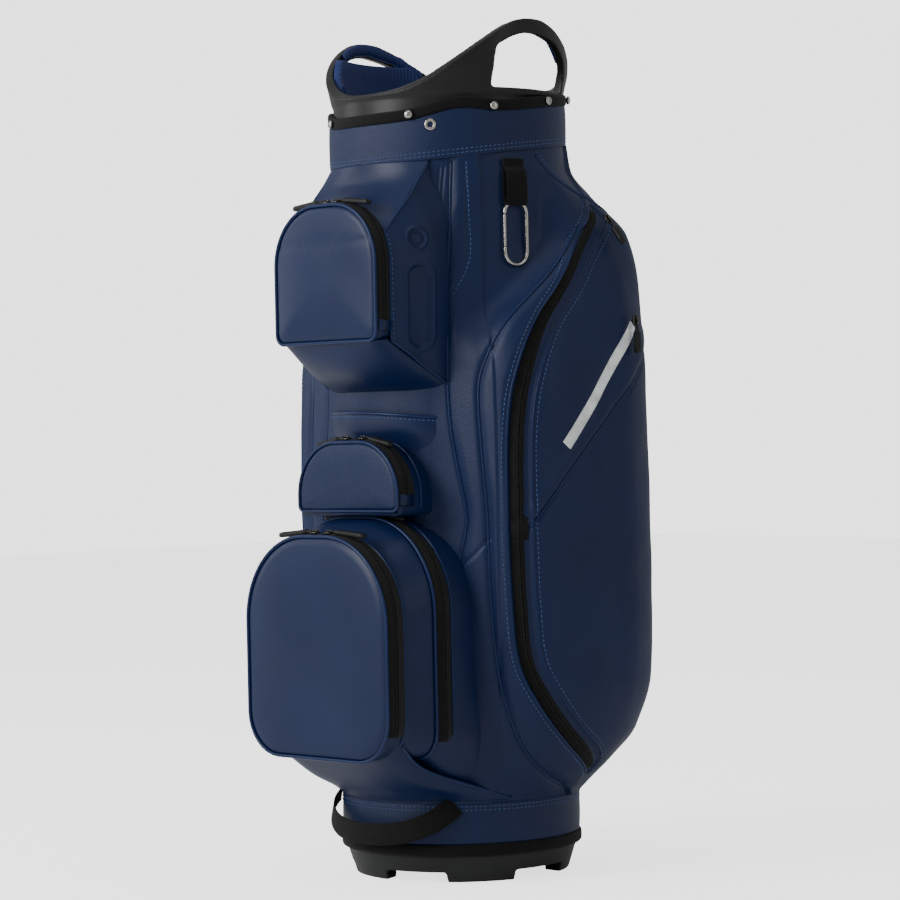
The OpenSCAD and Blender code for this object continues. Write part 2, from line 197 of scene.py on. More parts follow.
def moulded(name, color, rough, grain=0.0006):
    material, tree, bsdf = new_material(name, color, rough)
    bsdf.inputs["Specular IOR Level"].default_value = 0.3
    coord = vary(tree, bsdf, color, 0.12, 14.0, rough, 0.06)
    fine = node(tree, "ShaderNodeTexNoise", Scale=1.0 / grain, Detail=3.0)
    tree.links.new(coord.outputs["Object"], fine.inputs["Vector"])
    bump(tree, bsdf, fine.outputs["Fac"], 0.25, 0.0002)
    return material


def woven(name, color, thread, rough=0.8, depth=0.0004):
    """Webbing: threads across and along, from the piece's own surface coordinates."""
    material, tree, bsdf = new_material(name, color, rough)
    bsdf.inputs["Specular IOR Level"].default_value = 0.15
    bsdf.inputs["Sheen Weight"].default_value = 0.05
    bsdf.inputs["Sheen Roughness"].default_value = 0.5
    vary(tree, bsdf, color, 0.25, 60.0, rough, 0.06)
    uv = node(tree, "ShaderNodeTexCoord")
    split = node(tree, "ShaderNodeSeparateXYZ")
    tree.links.new(uv.outputs["UV"], split.inputs["Vector"])
    waves = []
    for axis in ("X", "Y"):
        scale = node(tree, "ShaderNodeMath", operation="MULTIPLY")
        scale.inputs[1].default_value = math.pi / thread
        sine = node(tree, "ShaderNodeMath", operation="SINE")
        tree.links.new(split.outputs[axis], scale.inputs[0])
        tree.links.new(scale.outputs[0], sine.inputs[0])
        waves.append(sine)
    product = node(tree, "ShaderNodeMath", operation="MULTIPLY")
    tree.links.new(waves[0].outputs[0], product.inputs[0])
    tree.links.new(waves[1].outputs[0], product.inputs[1])
    bump(tree, bsdf, product.outputs[0], 0.6, depth)
    return material


NAVY = (0.0028, 0.0118, 0.0550)
MATERIALS = {
    "navy_weave": leather("navy_weave", NAVY, 0.0016, 0.0004),
    "navy_smooth": leather("navy_smooth", (0.0027, 0.0113, 0.0530), 0.0009, 0.00012, rough=0.40),
    "navy_piping": leather("navy_piping", (0.0040, 0.0152, 0.0690), 0.0009, 0.0001, rough=0.34),
    "thread": woven("thread", (0.060, 0.110, 0.260), 0.0004, rough=0.6),
    "collar_plastic": moulded("collar_plastic", (0.0085, 0.0092, 0.0090), 0.38),
    "base_plastic": moulded("base_plastic", (0.0150, 0.0160, 0.0160), 0.45),
    "webbing": woven("webbing", (0.0050, 0.0050, 0.0054), 0.0016),
    "zip_tape": woven("zip_tape", (0.0070, 0.0074, 0.0066), 0.0009, rough=0.7),
    "zip_coil": moulded("zip_coil", (0.0130, 0.0135, 0.0120), 0.35),
    "lining": woven("lining", (0.020, 0.020, 0.024), 0.0011),
    "ribbed_rubber": moulded("ribbed_rubber", (0.0080, 0.0230, 0.120), 0.5),
    "pull_rubber": moulded("pull_rubber", (0.0070, 0.0070, 0.0070), 0.5),
    "silver": woven("silver", (0.80, 0.84, 0.85), 0.0007, rough=0.45, depth=0.0001),
}


def emboss(name, color, pitch, depth, rough=0.44):
    """Leather pressed with a slanting weave, from the piece's own surface coordinates."""
    material = leather(name, color, 0.0012, 0.0001, rough)
    tree = material.node_tree
    bsdf = tree.nodes["Principled BSDF"]
    uv = node(tree, "ShaderNodeTexCoord")
    waves = []
    for turn in (0.9, -0.65):
        rotate = node(tree, "ShaderNodeVectorRotate", rotation_type="Z_AXIS", Angle=turn)
        tree.links.new(uv.outputs["UV"], rotate.inputs["Vector"])
        split = node(tree, "ShaderNodeSeparateXYZ")
        tree.links.new(rotate.outputs["Vector"], split.inputs["Vector"])
        scale = node(tree, "ShaderNodeMath", operation="MULTIPLY")
        scale.inputs[1].default_value = 2 * math.pi / pitch
        sine = node(tree, "ShaderNodeMath", operation="SINE")
        tree.links.new(split.outputs["X"], scale.inputs[0])
        tree.links.new(scale.outputs[0], sine.inputs[0])
        waves.append(sine)
    total = node(tree, "ShaderNodeMath", operation="ADD")
    tree.links.new(waves[0].outputs[0], total.inputs[0])
    tree.links.new(waves[1].outputs[0], total.inputs[1])
    under = bsdf.inputs["Normal"].links[0].from_node
    bump(tree, bsdf, total.outputs[0], 0.35, depth, under)
    return material


MATERIALS["navy_emboss"] = emboss("navy_emboss", NAVY, 0.0022, 0.00025)


def metal(name, color, rough):
    material, tree, bsdf = new_material(name, color, rough, 1.0)
    vary(tree, bsdf, color, 0.08, 40.0, rough, 0.06)
    return material


MATERIALS["gunmetal"] = metal("gunmetal", (0.055, 0.054, 0.050), 0.25)
MATERIALS["nickel"] = metal("nickel", (0.42, 0.41, 0.37), 0.18)
MATERIALS["aluminium"] = metal("aluminium", (0.75, 0.75, 0.77), 0.35)


# ---------- mesh helpers ----------
def make_object(name, verts, faces, material, uvs=None, smooth=True):
    mesh = bpy.data.meshes.new(name)
    mesh.from_pydata(np.asarray(verts, float).tolist(), [], [list(map(int, f)) for f in faces])
    mesh.update()
    if uvs is not None:
        layer = mesh.uv_layers.new(name="UVMap")
        loops = np.empty(len(mesh.loops), np.int32)
        mesh.loops.foreach_get("vertex_index", loops)
        layer.data.foreach_set("uv", np.asarray(uvs, np.float32)[loops].ravel())
    mesh.polygons.foreach_set("use_smooth", [smooth] * len(mesh.polygons))
    mesh.materials.append(MATERIALS[material])
    obj = bpy.data.objects.new(name, mesh)
    bpy.context.scene.collection.objects.link(obj)
    return obj


def finish_piece(obj, body, replaces=()):
    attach(obj, body)
    if replaces:
        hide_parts(*([replaces] if isinstance(replaces, str) else replaces))
    return obj


def grid_faces(nu, nv, wrap_u=False, wrap_v=False, flip=False, start=0):
    faces = []
    for i in range(nu if wrap_u else nu - 1):
        i2 = (i + 1) % nu
        for j in range(nv if wrap_v else nv - 1):
            j2 = (j + 1) % nv
            quad = (start + i * nv + j, start + i2 * nv + j, start + i2 * nv + j2, start + i * nv + j2)
            faces.append(quad[::-1] if flip else quad)
    return faces


def lengths_along(path, closed=False):
    steps = np.linalg.norm(np.diff(path, axis=0), axis=1)
    return np.concatenate([[0], np.cumsum(steps)])


def resample(path, pitch, normals=None, closed=False):
    path = np.asarray(path, float)
    if closed:
        path = np.vstack([path, path[:1]])
        normals = None if normals is None else np.vstack([normals, normals[:1]])
    along = lengths_along(path)
    count = max(2, int(round(along[-1] / pitch)) + 1)
    at = np.linspace(0, along[-1], count)
    if closed:
        at = at[:-1]
    out = np.stack([np.interp(at, along, path[:, k]) for k in range(3)], 1)
    if normals is None:
        return out
    turned = np.stack([np.interp(at, along, normals[:, k]) for k in range(3)], 1)
    return out, turned / np.linalg.norm(turned, axis=1, keepdims=True)


def curve(points, pitch=4.0):
    """A smooth line through a few points, by centripetal-like Catmull-Rom pieces, resampled evenly."""
    p = np.asarray(points, float)
    ext = np.vstack([2 * p[0] - p[1], p, 2 * p[-1] - p[-2]])
    t = np.linspace(0, 1, 17)[:-1][:, None]
    out = []
    for a, b, c, d in zip(ext[:-3], ext[1:-2], ext[2:-1], ext[3:]):
        out.append(0.5 * (2 * b + (c - a) * t + (2 * a - 5 * b + 4 * c - d) * t**2 + (3 * b - a - 3 * c + d) * t**3))
    dense = np.vstack(out + [p[-1:]])
    along = lengths_along(dense)
    at = np.linspace(0, along[-1], max(3, int(along[-1] / pitch) + 1))
    return np.stack([np.interp(at, along, dense[:, k]) for k in range(p.shape[1])], 1)


def unit(v):
    return v / np.maximum(np.linalg.norm(v, axis=-1, keepdims=True), 1e-12)


def tangents(path, closed):
    if closed:
        return unit(np.roll(path, -1, 0) - np.roll(path, 1, 0))
    out = np.gradient(path, axis=0)
    return unit(out)


def sweep(name, path, normals, profile, material, closed=False, caps=True):
    """A closed profile of (across, up) points carried along a path, with 'up' along the normals."""
    path = np.asarray(path, float)
    along = tangents(path, closed)
    normals = unit(np.asarray(normals, float) - along * np.sum(normals * along, 1, keepdims=True))
    side = np.cross(along, normals)
    profile = np.asarray(profile, float)
    verts = path[:, None, :] + side[:, None, :] * profile[None, :, :1] + normals[:, None, :] * profile[None, :, 1:]
    nu, nv = verts.shape[:2]
    faces = grid_faces(nu, nv, closed, True)
    steps = lengths_along(path)
    around = lengths_along(np.hstack([profile, np.zeros((nv, 1))]))
    uvs = np.stack(np.meshgrid(steps, around, indexing="ij"), -1).reshape(-1, 2)
    if caps and not closed:
        faces.append(tuple(range(nv)))
        faces.append(tuple(range((nu - 1) * nv, nu * nv))[::-1])
    obj = make_object(name, verts.reshape(-1, 3), faces, material, uvs)
    fix_normals(obj)
    return obj


def fix_normals(obj):
    bm = bmesh.new()
    bm.from_mesh(obj.data)
    bmesh.ops.recalc_face_normals(bm, faces=bm.faces)
    bm.to_mesh(obj.data)
    bm.free()


def circle_profile(radius, sides=8, squash=1.0):
    a = np.arange(sides) * 2 * math.pi / sides
    return np.stack([radius * np.cos(a), radius * squash * np.sin(a)], 1)


def frame_normals(path, closed=False):
    """Normals carried along a path with no twist."""
    along = tangents(path, closed)
    start = np.array([0, 0, 1.0]) if abs(along[0][2]) < 0.9 else np.array([1.0, 0, 0])
    out = [unit(start - along[0] * np.dot(start, along[0]))]
    for t in along[1:]:
        out.append(unit(out[-1] - t * np.dot(out[-1], t)))
    return np.array(out)


def pipe(name, path, radius, material="navy_piping", closed=False, sides=8):
    return sweep(name, path, frame_normals(path, closed), circle_profile(radius, sides), material, closed)


def stitches(name, path, normals, pitch=0.0052, length=0.0036, radius=0.00048, material="thread", closed=False):
    """A row of separate stitches that sink into the surface at both ends."""
    at, up = resample(path, pitch, normals, closed)
    along = tangents(at, closed)
    side = np.cross(along, up)
    rings = [(-0.5, 0.15, -0.6), (-0.3, 0.85, 0.1), (0.0, 1.0, 0.45), (0.3, 0.85, 0.1), (0.5, 0.15, -0.6)]
    sides = 6
    turn = np.arange(sides) * 2 * math.pi / sides
    verts, faces = [], []
    for p, t, n, s in zip(at, along, up, side):
        base = len(verts)
        for where, size, lift in rings:
            centre = p + t * where * length + n * lift * radius
            for a in turn:
                verts.append(centre + (s * math.cos(a) + n * math.sin(a)) * radius * size)
        for r in range(len(rings) - 1):
            for k in range(sides):
                k2 = (k + 1) % sides
                faces.append((base + r * sides + k, base + r * sides + k2,
                              base + (r + 1) * sides + k2, base + (r + 1) * sides + k))
        faces.append(tuple(base + k for k in range(sides))[::-1])
        faces.append(tuple(base + (len(rings) - 1) * sides + k for k in range(sides)))
    uvs = np.zeros((len(verts), 2))
    return make_object(name, verts, faces, material, uvs)


def join(name, *objects):
    """Joins meshes that ride together into one object."""
    objects = [o for o in objects if o is not None]
    with bpy.context.temp_override(active_object=objects[0], object=objects[0],
                                   selected_objects=objects, selected_editable_objects=objects):
        bpy.ops.object.join()
    objects[0].name = name
    return objects[0]


def noise(points, scale, seed=0.0):
    """Smooth repeatable noise from a few sine waves, about -1 to 1."""
    x, y, z = (np.asarray(points)[..., k] * scale + seed for k in range(3))
    return (np.sin(x * 1.7 + 1.3 * np.sin(y * 1.1 + 0.7 * z)) + np.sin(y * 2.3 + 1.7 * np.sin(z * 1.3 + x))
            + np.sin(z * 1.9 + 1.1 * np.sin(x * 0.9 + 1.9 * y))) / 3.0


# ---------- the bag's body ----------
# Directions are degrees from the right-hand side (0) to the front (-90) and the back (90); the left is mirrored.
DIRECTIONS = [-90, -72, -56, -45, -35, -23, -12, 0, 12, 24, 34, 44, 58, 74, 90]
# The body's radius in millimetres at each height, in each of those directions.
LEVELS = {
    84: [131, 131, 131, 131, 131, 131, 131, 131, 131, 131, 131, 131, 131, 131, 131],
    100: [133, 133, 133, 133, 135, 138, 141, 144, 146, 146, 144, 140, 137, 135, 134],
    122: [139, 138, 136, 137, 143, 152, 160, 165, 168, 168, 166, 158, 147, 141, 138],
    160: [140, 140, 138, 140, 149, 166, 176, 183, 189, 196, 198, 186, 160, 147, 141],
    215: [136, 136, 136, 142, 158, 178, 186, 191, 198, 209, 214, 201, 168, 148, 141],
    300: [132, 132, 134, 143, 161, 182, 188, 192, 199, 212, 217, 205, 169, 148, 141],
    420: [131, 131, 134, 143, 162, 184, 189, 192, 199, 212, 217, 204, 169, 148, 141],
    540: [131, 131, 134, 142, 160, 181, 187, 191, 198, 210, 215, 202, 168, 148, 141],
    610: [131, 131, 133, 139, 152, 170, 176, 182, 192, 207, 212, 200, 167, 148, 141],
    655: [131, 131, 132, 137, 146, 160, 166, 172, 182, 201, 208, 197, 165, 148, 141],
    700: [131, 131, 132, 135, 141, 150, 155, 160, 169, 184, 197, 190, 163, 147, 140],
    740: [131, 131, 132, 133, 136, 142, 145, 148, 152, 158, 162, 158, 149, 142, 138],
    776: [130, 130, 130, 130, 131, 132, 133, 133, 133, 133, 133, 133, 132, 131, 131],
    800: [129, 129, 129, 129, 129, 129, 129, 129, 129, 129, 129, 129, 129, 129, 129],
    816: [127, 127, 127, 127, 127, 127, 127, 127, 127, 127, 127, 127, 127, 127, 127],
}
# Lines on the body, as (direction, height in millimetres)
ZIP_LINE = [(25, 724), (14, 692), (1, 644), (-11, 602), (-18.5, 556), (-22.3, 500), (-23.3, 413),
            (-22.5, 306), (-20.5, 242), (-13.5, 198), (-2, 157), (14, 121)]
ROLL_LINE = [(12, 706), (-2, 664), (-14, 634), (-24, 606), (-31, 572), (-35, 534), (-34.5, 470), (-33, 400),
             (-32.5, 320), (-31.5, 262), (-28.5, 205), (-21, 150), (-10, 118), (4, 101)]
COLUMN_LINE = [(-43.6, 778), (-45, 710), (-46.5, 640), (-47, 522), (-44, 455), (-40.6, 405), (-41, 378), (-45, 338),
               (-50, 300), (-54, 240)]
FLAP_LINE = [(-37.5, 776), (-37, 720), (-36.5, 684), (-39, 660), (-44.5, 638)]
PLEAT_LINES = [[(-49, 772), (-50.5, 740), (-52.5, 715), (-53, 680), (-52, 620), (-49.5, 575)],
               [(-47, 772), (-48.5, 740), (-50, 712), (-50.5, 680), (-50, 620), (-48.5, 575)]]
SHOULDER_LINE = [(2, 786), (10, 768), (20, 750), (30, 736), (40, 722), (50, 700)]
PLEAT_BACK_LINE = [(38, 586), (30, 557), (9, 489), (-8, 430), (-19.5, 384)]
LOWER_SEAM = [(-33, 372), (-38, 355), (-43, 342), (-51.6, 305)]
SLASH_LINE = [(25.5, 600), (16, 562), (4, 510), (-6, 470)]
ARC = 150.0 * math.pi / 180


def pchip(x, y, at):
    """A smooth curve through y(x) with no overshoot, for every column of y."""
    x, y, at = np.asarray(x, float), np.asarray(y, float), np.asarray(at, float)
    h = np.diff(x)[:, None]
    slope = np.diff(y, axis=0) / h
    middle = np.where(slope[:-1] * slope[1:] > 0, 2 * slope[:-1] * slope[1:] / (slope[:-1] + slope[1:] + 1e-12), 0)
    d = np.vstack([slope[:1] * 0, middle, slope[-1:] * 0])
    k = np.clip(np.searchsorted(x, at) - 1, 0, len(x) - 2)
    t = np.clip((at - x[k]) / (x[k + 1] - x[k]), 0, 1)[:, None]
    hk = h[k]
    return ((2 * t**3 - 3 * t**2 + 1) * y[k] + (t**3 - 2 * t**2 + t) * hk * d[k]
            + (-2 * t**3 + 3 * t**2) * y[k + 1] + (t**3 - t**2) * hk * d[k + 1])


def line_distance(direction, height, line):
    """Distance to a line on the body, in millimetres, and its sign (positive behind it)."""
    pts = curve([(a * ARC, z) for a, z in line], 6.0)
    u = direction * ARC
    best = np.full(u.shape, 1e9)
    sign = np.zeros(u.shape)
    for (x0, z0), (x1, z1) in zip(pts[:-1], pts[1:]):
        dx, dz = x1 - x0, z1 - z0
        t = np.clip(((u - x0) * dx + (height - z0) * dz) / (dx * dx + dz * dz), 0, 1)
        ex, ez = u - x0 - t * dx, height - z0 - t * dz
        d = np.hypot(ex, ez)
        near = d < best
        best = np.where(near, d, best)
        sign = np.where(near, np.sign(dx * ez - dz * ex), sign)
    return best, sign


def groove(d, width, depth):
    return -depth * np.exp(-((d / width) ** 2))


def smooth_step(a, b, x):
    t = np.clip((x - a) / (b - a), 0, 1)
    return t * t * (3 - 2 * t)


ROWS = sorted(LEVELS)
TABLE = np.array([LEVELS[z] for z in ROWS], float)
FINE_DIRECTIONS = np.linspace(-90, 90, 361)
FINE_HEIGHTS = np.linspace(84, 816, 733)
FINE_TABLE = pchip(DIRECTIONS, pchip(ROWS, TABLE, FINE_HEIGHTS).T, FINE_DIRECTIONS)


def plain_radius(direction, height):
    a = np.clip((direction + 90) * 2, 0, 359.999)
    h = np.clip(height - 84, 0, 731.999)
    i, j = a.astype(int), h.astype(int)
    fa, fh = a - i, h - j
    t = FINE_TABLE
    return ((1 - fa) * ((1 - fh) * t[i, j] + fh * t[i, j + 1]) + fa * ((1 - fh) * t[i + 1, j] + fh * t[i + 1, j + 1]))


def detailed_radius(direction, height):
    """The body's radius with its rolls, seams, pleats and channels, in millimetres."""
    direction = np.asarray(direction, float)
    height = np.asarray(height, float)
    r = plain_radius(direction, height)
    zip_d, zip_side = line_distance(direction, height, ZIP_LINE)
    roll_d, roll_side = line_distance(direction, height, ROLL_LINE)
    # The panel in front of the roll's upper half lies close to the trunk
    in_front = (roll_side < 0) * smooth_step(560, 630, height) * (1 - smooth_step(0, 14, direction))
    r = r - in_front * np.maximum(r - 134.5, 0) * (1 - np.exp(-roll_d / 9.0))
    # Padded roll between its piped front edge and the zip
    between = np.clip(1 - np.abs(zip_d - roll_d) / np.maximum(zip_d + roll_d, 1e-6), 0, 1)
    inside = (roll_side > 0) & (zip_side < 0)
    r = r + np.where(inside, 5.0 * between**0.8, 0)
    r = r + groove(roll_d, 3.2, 3.0) - 3.0 * (1 - smooth_step(8.2, 11.2, zip_d))
    behind = smooth_step(4, 24, zip_d) * (zip_side > 0)
    r = r + 2.5 * behind
    column_d, column_side = line_distance(direction, height, COLUMN_LINE)
    r = r + groove(column_d, 2.2, 1.8) + 1.6 * smooth_step(2, 10, column_d) * (column_side > 0) * (direction < -30)
    flap_d, _ = line_distance(direction, height, FLAP_LINE)
    r = r + groove(flap_d, 1.6, 1.0)
    for line in PLEAT_LINES:
        d, _ = line_distance(direction, height, line)
        r = r + groove(d, 1.5, 1.5)
    shoulder_d, _ = line_distance(direction, height, SHOULDER_LINE)
    r = r + groove(shoulder_d, 2.0, 1.2)
    pleat_d, pleat_side = line_distance(direction, height, PLEAT_BACK_LINE)
    r = r + groove(pleat_d, 2.4, 2.0) + 1.6 * np.exp(-(((pleat_d - 9) / 6.0) ** 2)) * (pleat_side < 0)
    seam_d, _ = line_distance(direction, height, LOWER_SEAM)
    r = r + groove(seam_d, 1.8, 1.2)
    slash_d, _ = line_distance(direction, height, SLASH_LINE)
    r = r + groove(slash_d, 8.0, 1.5)
    return r


def sagged(points, amount=0.9):
    """Slow swells and slack of filled soft panels, in millimetres."""
    return amount * (noise(points, 0.021, 2.0) + 0.5 * noise(points, 0.045, 5.0))


def on_body(direction, height, lift=0.0, mirrored=False):
    """Points on the body's surface, in metres, with their normals."""
    direction, height = np.asarray(direction, float), np.asarray(height, float)

    def place(a, z):
        r = detailed_radius(a, z)
        t = np.radians(a)
        p = np.stack([r * np.cos(t), r * np.sin(t), z + 0 * t], -1)
        fade = smooth_step(100, 150, z) * (1 - smooth_step(720, 770, z))
        return p * (1 + (sagged(p) * fade / r)[:, None] * np.array([1, 1, 0]))

    p = place(direction, height)
    pa = place(direction + 0.4, height) - place(direction - 0.4, height)
    pz = place(direction, height + 1.0) - place(direction, height - 1.0)
    n = unit(np.cross(pa, pz))
    p = (p + n * lift) * MM
    if mirrored:
        p, n = p * [-1, 1, 1], n * [-1, 1, 1]
    return p, n


def body_line(line, lift=0.0, mirrored=False, pitch=2.0):
    pts = curve([(a * ARC, z) for a, z in line], pitch)
    return on_body(pts[:, 0] / ARC, pts[:, 1], lift, mirrored)


def make_body():
    around, up = 720, 480
    u = np.linspace(-90, 270, around, endpoint=False)
    heights = np.linspace(86, 813, up)
    uu, hh = np.meshgrid(u, heights, indexing="ij")
    folded = np.where(uu > 90, 180 - uu, uu)
    side = np.where(uu > 90, -1.0, 1.0)
    p, _ = on_body(folded.ravel(), hh.ravel())
    p[:, 0] *= side.ravel()
    inner_r = 0.1235
    t = np.radians(u)
    inner_rows = []
    for z in (0.813, 0.0865):
        inner_rows.append(np.stack([inner_r * np.cos(t), inner_r * np.sin(t), np.full(around, z)], 1))
    verts = np.concatenate([p.reshape(around, up, 3), *[r[:, None, :] for r in inner_rows]], 1)
    faces = grid_faces(around, up + 2, True, True)
    flat = np.stack([uu * ARC * MM, hh * MM], -1)
    uv = np.concatenate([flat, flat[:, :2] * 0], 1)
    body = make_object("body_shell", verts.reshape(-1, 3), faces, "navy_weave", uv.reshape(-1, 2))
    finish_piece(body, "bag",
                 ("trunk_skin", "side_pocket_right", "side_pocket_left", "back_panel"))
    for mirrored in (False, True):
        tag = "left" if mirrored else "right"
        piped = [("roll", ROLL_LINE, 1.6), ("column", COLUMN_LINE, 1.7), ("shoulder", SHOULDER_LINE, 1.5),
                 ("pleat", PLEAT_BACK_LINE, 1.6)]
        pieces = []
        for name, line, radius in piped:
            path, _ = body_line(line, 0.3, mirrored)
            pieces.append(pipe(f"{name}_{tag}", path, radius * MM))
        for away in (-11.3, 11.3):
            pieces.append(pipe(f"zip_edge_{tag}", beside(ZIP_LINE, away, -0.2, mirrored)[0], 1.3 * MM))
        finish_piece(join(f"body_piping_{tag}", *pieces), "bag")
        rows = []
        for line, away in ((FLAP_LINE, 2.6), (LOWER_SEAM, 2.8), (ZIP_LINE, -15), (ZIP_LINE, 15), (SHOULDER_LINE, 4.5)):
            rows.append(seam_row(f"row_{tag}", line, away, mirrored))
        finish_piece(join(f"body_stitching_{tag}", *rows), "bag")


def beside(line, away, lift, mirrored):
    """A line on the body that runs beside another, at a distance in millimetres."""
    pts = curve([(a * ARC, z) for a, z in line], 3.0)
    along = tangents(np.hstack([pts, np.zeros((len(pts), 1))]), False)
    pts = pts + np.stack([-along[:, 1], along[:, 0]], 1) * away
    return on_body(pts[:, 0] / ARC, pts[:, 1], lift, mirrored)


def seam_row(name, line, away, mirrored, **kw):
    p, n = beside(line, away, 0.1, mirrored)
    return stitches(name, p, n, **kw)


# ---------- zips ----------
def zip_profile(width):
    """Flat tape with the covered coil standing up on each side of the middle."""
    h = width / 2
    return [(-h, 0), (-h, 0.0009), (-0.0034, 0.0011), (-0.0029, 0.0021), (-0.0014, 0.0024), (-0.0004, 0.0017),
            (0.0004, 0.0017), (0.0014, 0.0024), (0.0029, 0.0021), (0.0034, 0.0011), (h, 0.0009), (h, 0)]


def coil_teeth(name, path, normals, half_w=0.0024, lift=0.0022, pitch=0.0026):
    """The coil's turns, as small ribs across the zip."""
    at, up = resample(path, pitch, normals)
    along = tangents(at, False)
    side = np.cross(along, up)
    verts, faces = [], []
    for p, t, n, s in zip(at, along, up, side):
        for sign in (-1, 1):
            c = p + s * sign * half_w * 0.62 + n * lift
            base = len(verts)
            for x, y, z in ((-1, -1, 0), (1, -1, 0), (1, 1, 0), (-1, 1, 0), (0, 0, 1)):
                verts.append(c + t * x * pitch * 0.34 + s * y * half_w * 0.42 + n * z * 0.0007)
            faces += [(base, base + 1, base + 4), (base + 1, base + 2, base + 4), (base + 2, base + 3, base + 4),
                      (base + 3, base, base + 4), (base + 3, base + 2, base + 1, base)]
    return make_object(name, verts, faces, "zip_coil", np.zeros((len(verts), 2)))


def make_side_zips():
    for mirrored in (False, True):
        tag = "left" if mirrored else "right"
        path, normals = body_line(ZIP_LINE, 0.2, mirrored)
        tape = sweep(f"side_zip_tape_{tag}", path, normals, zip_profile(0.0190), "zip_tape")
        teeth = coil_teeth(f"side_zip_teeth_{tag}", path, normals)
        finish_piece(join(f"side_zip_piece_{tag}", tape, teeth), "bag", f"side_zip_{tag}")
        path, normals = body_line(SLASH_LINE, -0.6, mirrored)
        welt = [(-0.0066, 0), (-0.0062, 0.0018), (-0.004, 0.0026), (0.004, 0.0026), (0.0062, 0.0018), (0.0066, 0)]
        finish_piece(sweep(f"slash_welt_piece_{tag}", path, normals, welt, "silver"),
                     "bag", f"slash_welt_{tag}")


# ---------- sliders and pulls ----------
def placed(points, origin, along, out, mirrored):
    """Local points, x along the pull and z away from the surface, into the bag's frame."""
    along, out = unit(np.array(along, float)), unit(np.array(out, float))
    across = np.cross(out, along)
    p = np.asarray(points, float)
    world = np.array(origin) + p[:, :1] * along + p[:, 1:2] * across + p[:, 2:] * out
    return world * [-1, 1, 1] if mirrored else world


def blob(profile_x, sides=12):
    """Rings of a rounded body: (x, half width, low, high)."""
    rings = []
    for x, w, low, high in profile_x:
        ring = []
        for k in range(sides):
            a = 2 * math.pi * (k + 0.5) / sides
            c, s = math.cos(a), math.sin(a)
            sx = math.copysign(abs(c) ** 0.5, c)
            sz = math.copysign(abs(s) ** 0.5, s)
            ring.append((x, w * sx, (low + high) / 2 + (high - low) / 2 * sz))
        rings.append(ring)
    verts = [p for r in rings for p in r]
    faces = grid_faces(len(rings), sides, False, True)
    faces.append(tuple(range(sides)))
    faces.append(tuple(range((len(rings) - 1) * sides, len(rings) * sides))[::-1])
    return np.array(verts), faces


SLIDER_BODY = [(-0.0062, 0.0018, 0.0010, 0.0024), (-0.0056, 0.0034, 0.0006, 0.0030), (-0.002, 0.0046, 0.0003, 0.0034),
               (0.002, 0.0050, 0.0003, 0.0034), (0.0054, 0.0040, 0.0006, 0.0030), (0.0060, 0.0024, 0.0010, 0.0024)]
SLIDER_BRIDGE = [(-0.0042, 0.0010, 0.0028, 0.0040), (-0.003, 0.0012, 0.0034, 0.0052), (0.0, 0.0013, 0.0040, 0.0056),
                 (0.003, 0.0012, 0.0034, 0.0052), (0.0042, 0.0010, 0.0028, 0.0040)]


def pull_rings(length):
    rings = [(0.0048, 0.0014, 0.0030, 0.0050), (0.0085, 0.0016, 0.0024, 0.0050), (0.0115, 0.0020, 0.0020, 0.0050),
             (0.0130, 0.0038, 0.0008, 0.0062)]
    x, k = 0.0155, 0
    while x < length - 0.004:
        rings.append((x, 0.0047 if k % 2 == 0 else 0.0041, 0.0006, 0.0066 if k % 2 == 0 else 0.0058))
        x += 0.0022
        k += 1
    return rings + [(length - 0.002, 0.0040, 0.0008, 0.0060), (length, 0.0024, 0.0018, 0.0048)]


def make_slider(name, origin, along, out, mirrored, body, replaces, pull=None):
    parts = []
    for rings in (SLIDER_BODY, SLIDER_BRIDGE):
        verts, faces = blob(rings)
        parts.append(make_object(name, placed(verts, origin, along, out, mirrored), faces, "gunmetal"))
    for p in parts:
        fix_normals(p)
    slider = finish_piece(join(f"{name}_piece", *parts), body, replaces)
    if pull:
        length, tilt, pull_body, pull_replaces = pull
        verts, faces = blob(pull_rings(length))
        c, s = math.cos(tilt), math.sin(tilt)
        pivot = np.array([0.004, 0, 0.0045])
        q = verts - pivot
        verts = np.stack([q[:, 0] * c + q[:, 2] * s, q[:, 1], -q[:, 0] * s + q[:, 2] * c], 1) + pivot
        rubber = make_object(f"{name}_pull_piece", placed(verts, origin, along, out, mirrored), faces, "pull_rubber")
        fix_normals(rubber)
        finish_piece(rubber, pull_body, pull_replaces)
    return slider


def make_all_sliders():
    for mirrored in (False, True):
        tag = "left" if mirrored else "right"
        for kind, spec, reach, tilt in (("upper", UPPER, 0.052, 6), ("middle", MIDDLE, 0.046, 12),
                                        ("rear", REAR, 0.050, 8), ("lower", LOWER, 0.056, 5)):
            x = spec["half_w"] - spec["corner"][0] - 0.006
            y = -(spec["y"] - WALL - ZIP_HALF - 0.002)
            origin = (x, y, spec["z"][1] + 0.0019)
            slider = f"{kind}_slider_{tag}"
            own = f"{kind}_pull_{tag}" if kind in ("upper", "lower") else None
            make_slider(slider, origin, (1, 0, 0), (0, 0, 1), mirrored, slider, slider,
                        (reach, math.radians(tilt), own or slider, own or ()))
        for kind, origin, along, out in (("side", (0.172, 0.072, 0.716), (0.5736, 0, -0.8192), (0.8192, 0, 0.5736)),
                                         ("slash", (0.1983, 0.084, 0.605), (0, 0, -1), (1, 0, 0))):
            slider, own = f"{kind}_slider_{tag}", f"{kind}_pull_{tag}"
            make_slider(slider, origin, along, out, mirrored, slider, slider, (0.036, math.radians(-2), own, own))


